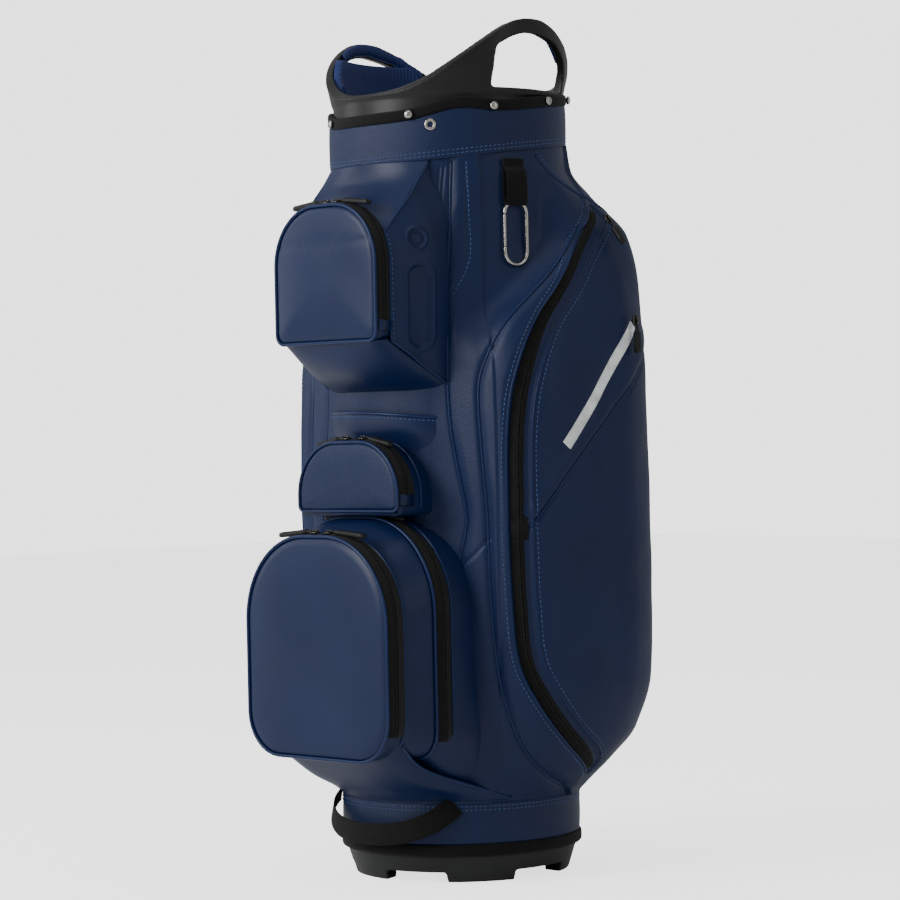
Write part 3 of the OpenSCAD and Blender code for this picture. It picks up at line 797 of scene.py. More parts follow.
# ---------- front pockets ----------
def outline(spec, grow=0.0, pitch=0.004, from_z=None):
    """The pocket's outline, anticlockwise from the middle of its bottom edge, as (x, z)."""
    w = spec["half_w"] + grow
    low, high = spec["z"][0] - grow, spec["z"][1] + grow
    top, bottom = spec["corner"][0] + grow, spec["corner"][1] + grow
    pts = [(0, low)]

    def arc(cx, cz, r, a0, a1, n):
        for a in np.linspace(math.radians(a0), math.radians(a1), n):
            pts.append((cx + r * math.cos(a), cz + r * math.sin(a)))

    arc(w - bottom, low + bottom, bottom, -90, 0, 9)
    arc(w - top, high - top, top, 0, 90, 25)
    arc(-w + top, high - top, top, 90, 180, 25)
    arc(-w + bottom, low + bottom, bottom, 180, 270, 9)
    pts = np.array(pts + [(0, low)])
    keep = np.concatenate([[True], np.linalg.norm(np.diff(pts, axis=0), axis=1) > 1e-6])
    pts = pts[keep]
    along = lengths_along(pts)
    at = np.linspace(0, along[-1], int(along[-1] / pitch))[:-1]
    out = np.stack([np.interp(at, along, pts[:, k]) for k in range(2)], 1)
    if from_z is not None:
        start = int(np.argmax(out[:, 1] > from_z))
        stop = len(out) - int(np.argmax(out[::-1, 1] > from_z))
        out = out[start:stop]
    return out


def outline_normals(xz, closed=True):
    p = np.stack([xz[:, 0], np.zeros(len(xz)), xz[:, 1]], 1)
    t = tangents(p, closed)
    return np.stack([t[:, 2], np.zeros(len(xz)), -t[:, 0]], 1)


def face_panel(name, spec, y, crown, material, thick=0.004, seam_z=None, sag=0.0012):
    """A padded panel: crowned, with a rolled edge and a flat back."""
    rim = outline(spec, -0.0012)
    centre = np.array([0.0, (spec["z"][0] + spec["z"][1]) / 2])
    shares = [1.0, 0.985, 0.96, 0.92, 0.86, 0.78, 0.68, 0.57, 0.45, 0.33, 0.21, 0.1]
    rings = []
    for s in shares:
        xz = centre + (rim - centre) * s
        rise = crown * (1 - s**3.2) + 0.0016 * smooth_step(1.0, 0.96, np.array(s))
        p = np.stack([xz[:, 0], np.full(len(xz), -y) - rise, xz[:, 1]], 1)
        p[:, 1] -= sag * (1 - s**4) * noise(p, 24.0, spec["y"] * 50)
        if seam_z is not None:
            p[:, 1] += 0.0011 * np.exp(-(((xz[:, 1] - seam_z) / 0.0022) ** 2)) * (s < 0.99)
        rings.append(p)
    back = [np.stack([(centre + (rim - centre) * s)[:, 0], np.full(len(rim), -y + thick),
                      (centre + (rim - centre) * s)[:, 1]], 1) for s in (1.0, 0.6, 0.2)]
    stack = back[::-1] + rings
    n = len(rim)
    verts = np.concatenate(stack)
    faces = grid_faces(len(stack), n, False, True)
    faces.append(tuple(range(n)))
    faces.append(tuple(range((len(stack) - 1) * n, len(stack) * n))[::-1])
    obj = make_object(name, verts, faces, material, verts[:, [0, 2]])
    fix_normals(obj)
    return obj


def gusset_shell(name, spec, y_front, material, bulge=0.0, thick=0.0022, spread=0.0, steps=10, drop=0.0):
    """The pocket's walls: a tube with thickness that swells a little, widens and ends inside the body."""
    xz = outline(spec, 0.0)
    normals = outline_normals(xz)[:, [0, 2]]
    layers = []
    shares = np.linspace(0, 1, steps)
    for s in shares:
        lift = bulge * math.sin(math.pi * s) + spread * s**1.5
        p2 = xz + normals * lift
        low = np.clip((spec["z"][0] + 0.04 - xz[:, 1]) / 0.04, 0, 1)
        y_back = np.sqrt(np.maximum(0.1275**2 - p2[:, 0] ** 2, 0.03**2))
        p = np.stack([p2[:, 0], -(y_front + (y_back - y_front) * s), p2[:, 1] - drop * s * low], 1)
        p += np.stack([normals[:, 0], 0 * normals[:, 0], normals[:, 1]], 1) * (0.0008 * noise(p, 40.0, 3.0) * math.sin(math.pi * s))[:, None]
        layers.append(p)
    inner = []
    for layer in layers[::-1]:
        inner.append(layer - np.stack([normals[:, 0], 0 * normals[:, 0], normals[:, 1]], 1) * thick)
    stack = np.stack(layers + inner, 1)
    faces = grid_faces(len(xz), stack.shape[1], True, True)
    obj = make_object(name, stack.reshape(-1, 3), faces, material, stack.reshape(-1, 3)[:, [1, 2]])
    fix_normals(obj)
    return obj


def around(spec, y, grow=0.0, from_z=None, pitch=0.003):
    xz = outline(spec, grow, pitch, from_z)
    closed = from_z is None
    path = np.stack([xz[:, 0], np.full(len(xz), -y), xz[:, 1]], 1)
    return path, outline_normals(xz, closed)


def pocket_zip(name, spec, y, body, replaces, grow=0.0008, width=0.0235):
    """The zip over the arch, its tape running across the gusset's edge."""
    path, normals = around(spec, y, grow, spec["z"][0] + 0.5 * spec["corner"][1] + 0.003)
    tape = sweep(f"{name}_tape", path, normals, zip_profile(width), "zip_tape")
    teeth = coil_teeth(f"{name}_teeth", path, normals)
    return finish_piece(join(f"{name}_piece", tape, teeth), body, replaces)


def edge_piping(name, spec, y, grow, radius=PIPING):
    path, _ = around(spec, y, grow, None, 0.0025)
    return pipe(name, path, radius, closed=True)


def edge_stitches(name, spec, y, inset, from_z=None, face_on=True):
    """Stitches round a panel, a little inside its edge, on its front."""
    xz = outline(spec, -inset, 0.003, from_z)
    path = np.stack([xz[:, 0], np.full(len(xz), -y), xz[:, 1]], 1)
    normals = np.tile([0.0, -1.0, 0.0], (len(path), 1)) if face_on else outline_normals(xz, from_z is None)
    return stitches(name, path, normals, closed=from_z is None)


def make_door(kind, spec, door_body, replaces, crown, material, seam_z=None):
    y = spec["y"]
    panel = face_panel(f"{kind}_panel", spec, y - 0.0016, crown, material, thick=0.0014, seam_z=seam_z)
    finish_piece(panel, door_body, replaces)
    edge = edge_piping(f"{kind}_panel_piping", spec, y - 0.0008, 0.0004)
    finish_piece(edge, door_body)


def patch(name, surface, material, thick=0.0025, inward=(0, 0.9, 0.1)):
    """A thin soft sheet from a grid of points, its back moved inwards."""
    rows, columns = surface.shape[:2]
    back = surface + np.array(inward) * thick
    stack = np.concatenate([surface, back[::-1]])
    faces = grid_faces(2 * rows, columns, True, False)
    last = 2 * rows - 1
    for column in (0, columns - 1):
        for k in range(rows - 1):
            faces.append((k * columns + column, (k + 1) * columns + column,
                          (last - k - 1) * columns + column, (last - k) * columns + column))
    verts = stack.reshape(-1, 3)
    obj = make_object(name, verts, faces, material, verts[:, [1, 2]])
    fix_normals(obj)
    return obj


def make_upper_cheek(side):
    """The pocket's side panel: from the zip back to the column, with a ring and a channel pressed in."""
    v = np.linspace(0, 1, 150)[:, None]
    u = np.linspace(0, 1, 110)[None, :]
    z_front = 0.5855 + (0.7005 - 0.5855) * v
    over = np.maximum(z_front - 0.669, 0)
    x_front = 0.0145 + np.sqrt(0.0655**2 - over**2)
    front = np.stack([x_front, -0.1705 + 0 * v, z_front], -1)
    turn = np.radians(-45.5 - 9 * smooth_step(0.75, 1.0, v))
    r_back = 0.1335 - 0.002 * v
    back = np.stack([r_back * np.cos(turn), r_back * np.sin(turn), 0.534 + (0.777 - 0.534) * v], -1)
    p = front * (1 - u[..., None]) + back * u[..., None]
    lift = 0.006 * np.sin(math.pi * u) ** 0.8 * (0.35 + 0.65 * np.sin(math.pi * np.clip(v, 0, 1)))
    lift = lift + 0.0012 * np.sin(9 * u + 3 * v) * np.sin(math.pi * u)
    y, z = p[..., 1], p[..., 2]
    d = np.hypot(y + 0.137, z - np.clip(z, 0.592, 0.652))
    lift = lift - 0.0034 * (1 - smooth_step(0.0105, 0.0145, d)) + 0.0010 * np.exp(-(((d - 0.017) / 0.003) ** 2))
    ring = np.hypot(y + 0.139, z - 0.6945)
    lift = lift + 0.0022 * np.exp(-(((ring - 0.0110) / 0.0019) ** 2)) - 0.0016 * np.exp(-(((ring - 0.0075) / 0.0015) ** 2))
    p[..., 0] += lift
    p[..., 0] *= side
    sheet = patch("upper_cheek", p, "navy_weave", 0.0030, (-side * 0.9, 0.3, 0))
    top = pipe("cheek_top", p[-1], 0.0014)
    low = pipe("cheek_low", p[0], 0.0017)
    front_edge = pipe("cheek_front", p[:, 0], 0.0015)
    row = stitches("cheek_row", p[4:-6, 3], np.tile([side, 0, 0.0], (140, 1)))
    return join("upper_cheek", sheet, top, low, front_edge, row)


def make_upper_hood():
    """The trunk's padded front, which swells out over the pocket between the two cheeks."""
    s = np.linspace(-1, 1, 120)
    over = np.radians(90 - s * 62.0)
    reach = np.abs(s) ** 3
    x = np.sign(s) * 0.0145 * np.minimum(1, np.abs(s) * 4) + 0.0655 * np.cos(over)
    z = 0.669 + 0.0655 * np.sin(over)
    front = np.stack([x, np.full(120, -0.1705), z], -1)
    turn = np.radians(-90 + 35.8 * s)
    back = np.stack([0.1322 * np.cos(turn), 0.1322 * np.sin(turn), 0.780 + 0 * s], -1)
    t = np.linspace(0, 1, 50)[:, None, None]
    p = front[None] * (1 - t) + back[None] * t
    dip = 0.012 * np.sin(math.pi * np.linspace(0, 1, 50)) [:, None] * (1 - reach)[None]
    p[..., 1] += dip
    p[..., 2] -= 0.35 * dip
    sheet = patch("upper_hood", p, "navy_smooth", 0.003, (0, 0.7, -0.5))
    return sheet


def make_upper_underside():
    """The padded underside, from the door's lower edge down and back to the trunk."""
    s = np.linspace(-1, 1, 90)[None, :]
    t = np.linspace(0, 1, 40)[:, None]
    front = np.stack([s * 0.0785 + 0 * t, -0.1885 + 0.012 * np.abs(s) ** 12 + 0 * t, 0.5850 + 0 * s * t], -1)
    turn = np.radians(-90 + 44.5 * s) + 0 * t
    back = np.stack([0.1325 * np.cos(turn), 0.1325 * np.sin(turn), 0.533 + 0 * turn], -1)
    m = t[..., None]
    p = front * (1 - m) + back * m
    p[..., 1] -= 0.010 * np.sin(math.pi * t) * (1 - np.abs(s) ** 3)
    p[..., 2] -= 0.004 * np.sin(math.pi * t) * (1 - np.abs(s) ** 3) * (1 + 0.4 * np.sin(5 * s))
    return patch("upper_underside", p, "navy_smooth", 0.003, (0, 0.3, 0.9))


def gusset_piping(name, spec, y, grow, low):
    xz = outline(spec, grow, 0.003, low)
    path = np.stack([xz[:, 0], np.full(len(xz), -y), xz[:, 1]], 1)
    return pipe(name, path, 0.0015)


def end_tabs(name, spec, y, material="navy_smooth"):
    """Small folded tabs over the lower ends of a pocket's zip."""
    tabs = []
    z = spec["z"][0] + spec["corner"][1] + 0.006
    for side in (1, -1):
        rings = []
        for dz, out in ((-0.007, 0.0012), (-0.005, 0.0032), (0.004, 0.0034), (0.006, 0.0020)):
            x = spec["half_w"] + out
            rings.append([(side * x, -y - 0.0095, z + dz), (side * x, -y + 0.0095, z + dz),
                          (side * (spec["half_w"] - 0.001), -y + 0.0095, z + dz),
                          (side * (spec["half_w"] - 0.001), -y - 0.0095, z + dz)])
        verts = [q for r in rings for q in r]
        faces = grid_faces(4, 4, False, True) + [(0, 1, 2, 3), (15, 14, 13, 12)]
        tab = make_object(name, verts, faces, material)
        fix_normals(tab)
        tabs.append(tab)
    return tabs


def make_front_pockets():
    make_door("upper", UPPER, "upper_door", "upper_door", 0.0045, "navy_smooth", seam_z=0.692)
    gusset = gusset_shell("upper_gusset", UPPER, UPPER["y"] - WALL, "navy_smooth", 0.0006, spread=0.001)
    gusset = join("upper_gusset", gusset, make_upper_cheek(1), make_upper_cheek(-1), make_upper_hood(), make_upper_underside(),
                  *end_tabs("upper_tab", UPPER, UPPER["y"] - WALL - ZIP_HALF - 0.002))
    finish_piece(gusset, "bag", "upper_pocket")
    pocket_zip("upper_zip", UPPER, UPPER["y"] - WALL - ZIP_HALF - 0.002, "bag", "upper_zip")
    make_door("middle", MIDDLE, "middle_door", "middle_door", 0.003, "navy_weave")
    lowered = {**MIDDLE, "z": (0.3985, MIDDLE["z"][1])}
    gusset = gusset_shell("middle_gusset", lowered, MIDDLE["y"] - WALL, "navy_smooth", 0.001, spread=-0.002)
    sill = slab("middle_sill", [(-0.1630, 0.3990), (-0.1630, 0.4030), (-0.1500, 0.4030), (-0.1500, 0.3990)], 0.072)
    sill.data.materials.clear()
    sill.data.materials.append(MATERIALS["navy_smooth"])
    gusset = join("middle_gusset", gusset, sill, gusset_piping("middle_back", MIDDLE, 0.130, 0.0012, 0.405),
                  *end_tabs("middle_tab", MIDDLE, MIDDLE["y"] - WALL - ZIP_HALF - 0.002))
    finish_piece(gusset, "bag", "middle_pocket")
    pocket_zip("middle_zip", MIDDLE, MIDDLE["y"] - WALL - ZIP_HALF - 0.002, "bag", "middle_zip")
    gusset = gusset_shell("rear_gusset_shell", REAR, REAR["y"] - WALL, "navy_smooth", 0.002, spread=0.002, drop=0.045)
    gusset = join("rear_gusset_shell", gusset, gusset_piping("rear_back", REAR, 0.1285, 0.0022, 0.165))
    finish_piece(gusset, "bag", "rear_gusset")
    pocket_zip("rear_zip", REAR, REAR["y"] - WALL - ZIP_HALF - 0.002, "bag", "rear_zip")
    make_door("lower", LOWER, "lower_door", "lower_door", 0.006, "navy_smooth")
    make_lower_box()
    pocket_zip("lower_zip", LOWER, LOWER["y"] - WALL - ZIP_HALF - 0.002, "lower_box", "lower_zip")


def make_lower_box():
    """Front box: its band widens from the front zip back to the rear layer's panel."""
    front = outline(LOWER, 0.0, 0.004)
    back_raw = outline(REAR, -0.0005, 0.004)
    share = np.linspace(0, 1, len(front), endpoint=False)
    at = np.linspace(0, 1, len(back_raw), endpoint=False)
    back = np.stack([np.interp(share, at, back_raw[:, k]) for k in range(2)], 1)
    steps = 12
    layers = []
    for k in range(steps):
        s = k / (steps - 1)
        mix = 0.12 * s + 0.88 * smooth_step(0.34, 1.0, np.array(s))
        xz = front * (1 - mix) + back * mix
        y = LOWER["y"] - WALL + (REAR["y"] - WALL - LOWER["y"] + WALL) * s
        layers.append(np.stack([xz[:, 0], np.full(len(xz), -y), xz[:, 1]], 1))
    centre = np.array([0.0, 0.0, 0.255])
    inner = []
    for layer in layers[::-1]:
        pulled = layer.copy()
        pulled[:, [0, 2]] = centre[[0, 2]] + (layer[:, [0, 2]] - centre[[0, 2]]) * 0.972
        inner.append(pulled)
    stack = np.stack(layers + inner, 1)
    faces = grid_faces(len(front), stack.shape[1], True, True)
    shell = make_object("lower_box_band", stack.reshape(-1, 3), faces, "navy_smooth", stack.reshape(-1, 3)[:, [1, 2]])
    fix_normals(shell)
    panel = face_panel("lower_box_back", REAR, REAR["y"] - 0.001, 0.0, "navy_smooth", thick=0.002, sag=0.0)
    finish_piece(panel, "lower_box", "rear_panel")
    finish_piece(shell, "lower_box", "lower_box")
    seam = layers[4] + (layers[4] - centre) * [0.004, 0, 0.004]
    edges = join("lower_box_piping", pipe("lower_box_edge", seam, PIPING, closed=True),
                 edge_piping("rear_panel_edge", REAR, REAR["y"] - 0.001, 0.0006))
    finish_piece(edges, "lower_box")


def low_part(spec, top_z, count):
    """The lower part of a pocket's outline, evenly from the right at that height, under, to the left, as (x, z)."""
    xz = outline(spec, 0.0, 0.002)
    half = len(xz) // 2
    right = xz[:half]
    right = right[right[:, 1] <= top_z]
    along = lengths_along(right)
    at = np.linspace(along[-1], 0, count // 2 + 1)
    right = np.stack([np.interp(at, along, right[:, k]) for k in range(2)], 1)
    return np.vstack([right, (right[::-1] * [-1, 1])[1:]])


def make_chin():
    """The underside that slopes from the front box back to the base, with its piped edges."""
    count = 96
    front = low_part(LOWER, 0.166, count)
    rear = low_part(REAR, 0.150, count)
    share = np.abs(np.linspace(-1, 1, len(front)))
    turn = np.radians(-90 + 69 * np.linspace(1, -1, len(front)))
    base = np.stack([0.1335 * np.cos(turn), 0.1335 * np.sin(turn), np.full(len(turn), 0.0895)], 1)
    a = np.stack([front[:, 0], np.full(len(front), -0.1965), front[:, 1]], 1)
    lowered = rear[:, 1] - 0.033 + 0.013 * share**4
    b = np.stack([rear[:, 0] * (1 - 0.14 * share**2), np.full(len(rear), -0.151), lowered], 1)
    c = b * 0.4 + base * 0.6
    c[:, :2] *= 1 - 0.012 * (share**2)[:, None]
    rows = []
    for t in np.linspace(0, 3, 31):
        k = min(int(t), 2)
        f = t - k
        p0, p1, p2, p3 = [(2 * a - b), a, b, c, base, 2 * base - c][k:k + 4]
        rows.append(0.5 * (2 * p1 + (p2 - p0) * f + (2 * p0 - 5 * p1 + 4 * p2 - p3) * f**2
                           + (3 * p1 - p0 - 3 * p2 + p3) * f**3))
    outer = np.array(rows)
    outer[..., 2] -= 0.0012 * noise(outer, 28.0, 4.0) * np.sin(np.linspace(0, math.pi, 31))[:, None]
    inner = outer * [0.985, 0.985, 1.0] + [0, 0, 0.003]
    stack = np.concatenate([outer, inner[::-1]])
    faces = grid_faces(stack.shape[0], stack.shape[1], True, False)
    n, m = stack.shape[1], stack.shape[0]
    for column in (0, n - 1):
        for k in range(30):
            quad = (k * n + column, (k + 1) * n + column, (m - 2 - k) * n + column, (m - 1 - k) * n + column)
            faces.append(quad)
    uv = stack.reshape(-1, 3)[:, :2]
    shell = make_object("front_underside", stack.reshape(-1, 3), faces, "navy_smooth", uv)
    fix_normals(shell)
    edges = [pipe(f"underside_edge_{k}", outer[2:, k], PIPING) for k in (0, n - 1)]
    whole = join("front_underside", shell, *edges)
    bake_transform(whole)


# ---------- top ----------
def folded_direction(degrees):
    d = (np.asarray(degrees, float) + 90) % 360 - 90
    return np.where(d > 90, 180 - d, d)


def tilted(z, degrees, rise=0.0, at=-40, spread=15):
    d = folded_direction(degrees)
    return (z + math.tan(CUFF_TILT) * CUFF_R * np.sin(np.radians(d))
            + rise * np.exp(-(((d - at) / spread) ** 2)))


def ring_band(name, r_in, r_out, low, high, material, soft=0.0012, puff=0.0, columns=540):
    """A band round the bag with rounded edges. low and high give its edges' heights from the direction."""
    deg = np.linspace(0, 360, columns, endpoint=False)
    t = np.radians(deg)
    z0, z1 = low(deg), high(deg)
    shares = [0, 0.012, 0.03, 0.07, 0.13, 0.22, 0.36, 0.5, 0.64, 0.78, 0.87, 0.93, 0.97, 0.988, 1]
    rings = []
    for s in shares:
        z = z0 + (z1 - z0) * s
        from_edge = np.minimum(s, 1 - s) * (z1 - z0)
        k = 1 - np.clip(from_edge / soft, 0, 1)
        r = r_out - soft * (1 - np.sqrt(1 - k**2)) + puff * math.sin(math.pi * s)
        p = np.stack([r * np.cos(t), r * np.sin(t), z], 1)
        rings.append(p)
    for s, z in ((1, z1), (0, z0)):
        rings.append(np.stack([r_in * np.cos(t), r_in * np.sin(t), z], 1))
    stack = np.stack(rings, 1)
    uv = np.stack([np.repeat(t[:, None] * r_out, len(rings), 1), stack[..., 2]], -1)
    faces = grid_faces(columns, len(rings), True, True)
    obj = make_object(name, stack.reshape(-1, 3), faces, material, uv.reshape(-1, 2))
    fix_normals(obj)
    return obj


def ring_stitches(name, radius, height, **kw):
    deg = np.linspace(0, 360, 720, endpoint=False)
    t = np.radians(deg)
    path = np.stack([radius * np.cos(t), radius * np.sin(t), height(deg)], 1)
    normals = np.stack([np.cos(t), np.sin(t), 0 * t], 1)
    return stitches(name, path, normals, closed=True, **kw)


def softened_copy(node_name, name, material, voxel, rounds):
    """A moulded part: the CAD shape with its edges rounded off."""
    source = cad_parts[node_name]
    obj = bpy.data.objects.new(name, source.data.copy())
    bpy.context.scene.collection.objects.link(obj)
    obj.matrix_world = source.matrix_world.copy()
    bpy.context.view_layer.update()
    obj.data.transform(obj.matrix_world)
    obj.matrix_world = Matrix.Identity(4)
    obj.data.materials.clear()
    obj.data.materials.append(MATERIALS[material])
    remesh = obj.modifiers.new("remesh", "REMESH")
    remesh.mode = "VOXEL"
    remesh.voxel_size = voxel
    remesh.use_smooth_shade = True
    smooth = obj.modifiers.new("smooth", "SMOOTH")
    smooth.factor = 0.5
    smooth.iterations = rounds
    graph = bpy.context.evaluated_depsgraph_get()
    mesh = bpy.data.meshes.new_from_object(obj.evaluated_get(graph))
    obj.modifiers.clear()
    obj.data = mesh
    return obj


def solid_ring(name, inner, profile, sides=360):
    """A ring whose inner and outer walls follow (height, radius) points."""
    a = np.arange(sides) * 2 * math.pi / sides
    points = [(r, z) for z, r in profile] + [(r, z) for z, r in inner[::-1]]
    rings = [np.stack([r * np.cos(a), r * np.sin(a), np.full(sides, z)], 1) for r, z in points]
    obj = make_object(name, np.concatenate(rings), grid_faces(len(rings), sides, True, True), "collar_plastic")
    fix_normals(obj)
    return obj


def slab(name, points, half, pitch=0.004):
    """A smooth outline in (y, z), as a block along X."""
    p = np.asarray(points, float)
    loop = curve(np.vstack([p, p[:1]]), pitch)[:-1]
    n = len(loop)
    verts = [(x, y, z) for x in (-half, half) for y, z in loop]
    faces = [(k, (k + 1) % n, n + (k + 1) % n, n + k) for k in range(n)]
    faces += [tuple(range(n))[::-1], tuple(range(n, 2 * n))]
    obj = make_object(name, verts, faces, "collar_plastic")
    fix_normals(obj)
    return obj


def cut(obj, other, operation):
    change = obj.modifiers.new("cut", "BOOLEAN")
    change.operation = operation
    change.solver = "EXACT"
    change.object = other
    graph = bpy.context.evaluated_depsgraph_get()
    mesh = bpy.data.meshes.new_from_object(obj.evaluated_get(graph))
    obj.modifiers.clear()
    obj.data = mesh
    bpy.data.objects.remove(other)


def make_collar():
    """The moulded top: low at the front and back, with a handle bulging out of each side."""
    inner = [(0.8155, 0.118), (0.850, 0.118), (0.868, 0.1215), (0.885, 0.1262), (0.900, 0.1280), (0.925, 0.1276),
             (0.940, 0.1262)]
    ring = solid_ring("top_collar_moulding", inner, [
        (0.8155, 0.1272), (0.850, 0.1272), (0.8535, 0.1292), (0.868, 0.1322), (0.880, 0.1352), (0.895, 0.1374),
        (0.910, 0.1380), (0.925, 0.1368), (0.940, 0.1346)])
    rim = [(-0.150, 0.800), (-0.150, 0.8535), (-0.134, 0.8545), (-0.120, 0.8575), (-0.105, 0.8690), (-0.086, 0.8890),
           (-0.062, 0.9095), (-0.040, 0.9240), (-0.018, 0.9330), (0.008, 0.9345), (0.030, 0.9290), (0.052, 0.9180),
           (0.072, 0.9040), (0.088, 0.8880), (0.100, 0.8760), (0.116, 0.8725), (0.150, 0.8720), (0.150, 0.800)]
    cut(ring, slab("rim", rim, 0.2), "INTERSECT")
    window = [(-0.0505, 0.8600), (-0.0510, 0.8700), (-0.0505, 0.8900), (-0.0495, 0.9010), (-0.0440, 0.9060),
              (-0.028, 0.9140), (-0.008, 0.9185), (0.012, 0.9170), (0.034, 0.9110), (0.052, 0.9000), (0.064, 0.8870),
              (0.0675, 0.8740), (0.0675, 0.8605), (0.0660, 0.8592), (0.040, 0.8590), (0.0, 0.8590), (-0.040, 0.8590),
              (-0.0495, 0.8591)]
    cut(ring, slab("window", window, 0.2), "DIFFERENCE")
    remesh = ring.modifiers.new("remesh", "REMESH")
    remesh.mode = "VOXEL"
    remesh.voxel_size = 0.0012
    remesh.use_smooth_shade = True
    smooth = ring.modifiers.new("smooth", "SMOOTH")
    smooth.factor = 0.5
    smooth.iterations = 10
    graph = bpy.context.evaluated_depsgraph_get()
    mesh = bpy.data.meshes.new_from_object(ring.evaluated_get(graph))
    ring.modifiers.clear()
    ring.data = mesh
    finish_piece(ring, "bag", "top_collar")


def ribbed_sector(name, r_out, r_in, low, high, start, end, pitch_deg, depth, material, lean=0.0):
    """A curved panel whose inner face is ribbed up and down."""
    count = int((end - start) / pitch_deg * 10) + 1
    deg = np.linspace(start, end, count)
    t = np.radians(deg)
    rib = depth * (0.5 + 0.5 * np.cos((deg - start) / pitch_deg * 2 * math.pi)) ** 0.6
    z0, z1 = low(deg), high(deg)
    rings = [(r_out, z0), (r_in + depth, z0), (r_in + depth - rib, z0 + 0.0015), (r_in + depth - rib, (z0 + z1) / 2),
             (r_in + depth - rib, z0 * 0.2 + z1 * 0.8), (r_in + depth - rib, z1 - 0.0015), (r_in + depth, z1),
             (r_out, z1), (r_out, z0 * 0.2 + z1 * 0.8), (r_out, (z0 + z1) / 2)]
    rings = [(r + lean * smooth_step(0.850, 0.890, z), z) for r, z in rings]
    stack = np.stack([np.stack([r * np.cos(t), r * np.sin(t), z], 1) for r, z in rings], 1)
    faces = grid_faces(count, len(rings), False, True)
    faces.append(tuple(range(len(rings))))
    faces.append(tuple(range((count - 1) * len(rings), count * len(rings)))[::-1])
    obj = make_object(name, stack.reshape(-1, 3), faces, material, stack.reshape(-1, 3)[:, [1, 2]])
    fix_normals(obj)
    return obj


def lathe(name, profile, place, axis, material, sides=32):
    """A turned part: (radius, height) points about an axis."""
    axis = unit(np.array(axis, float))
    side = unit(np.cross(axis, [0, 0, 1.0] if abs(axis[2]) < 0.9 else [1.0, 0, 0]))
    other = np.cross(axis, side)
    a = np.arange(sides) * 2 * math.pi / sides
    rings = [np.array(place) + axis * h + r * (np.cos(a)[:, None] * side + np.sin(a)[:, None] * other)
             for r, h in profile]
    verts = np.concatenate(rings)
    faces = grid_faces(len(rings), sides, False, True)
    if profile[0] != profile[-1]:
        faces.append(tuple(range(sides)))
        faces.append(tuple(range((len(rings) - 1) * sides, len(rings) * sides))[::-1])
    obj = make_object(name, verts, faces, material)
    fix_normals(obj)
    return obj


STUD_DIRECTIONS = [-63, -23, 10, 45, 135, 170, 203, 243]
EYELET_DIRECTION = -53


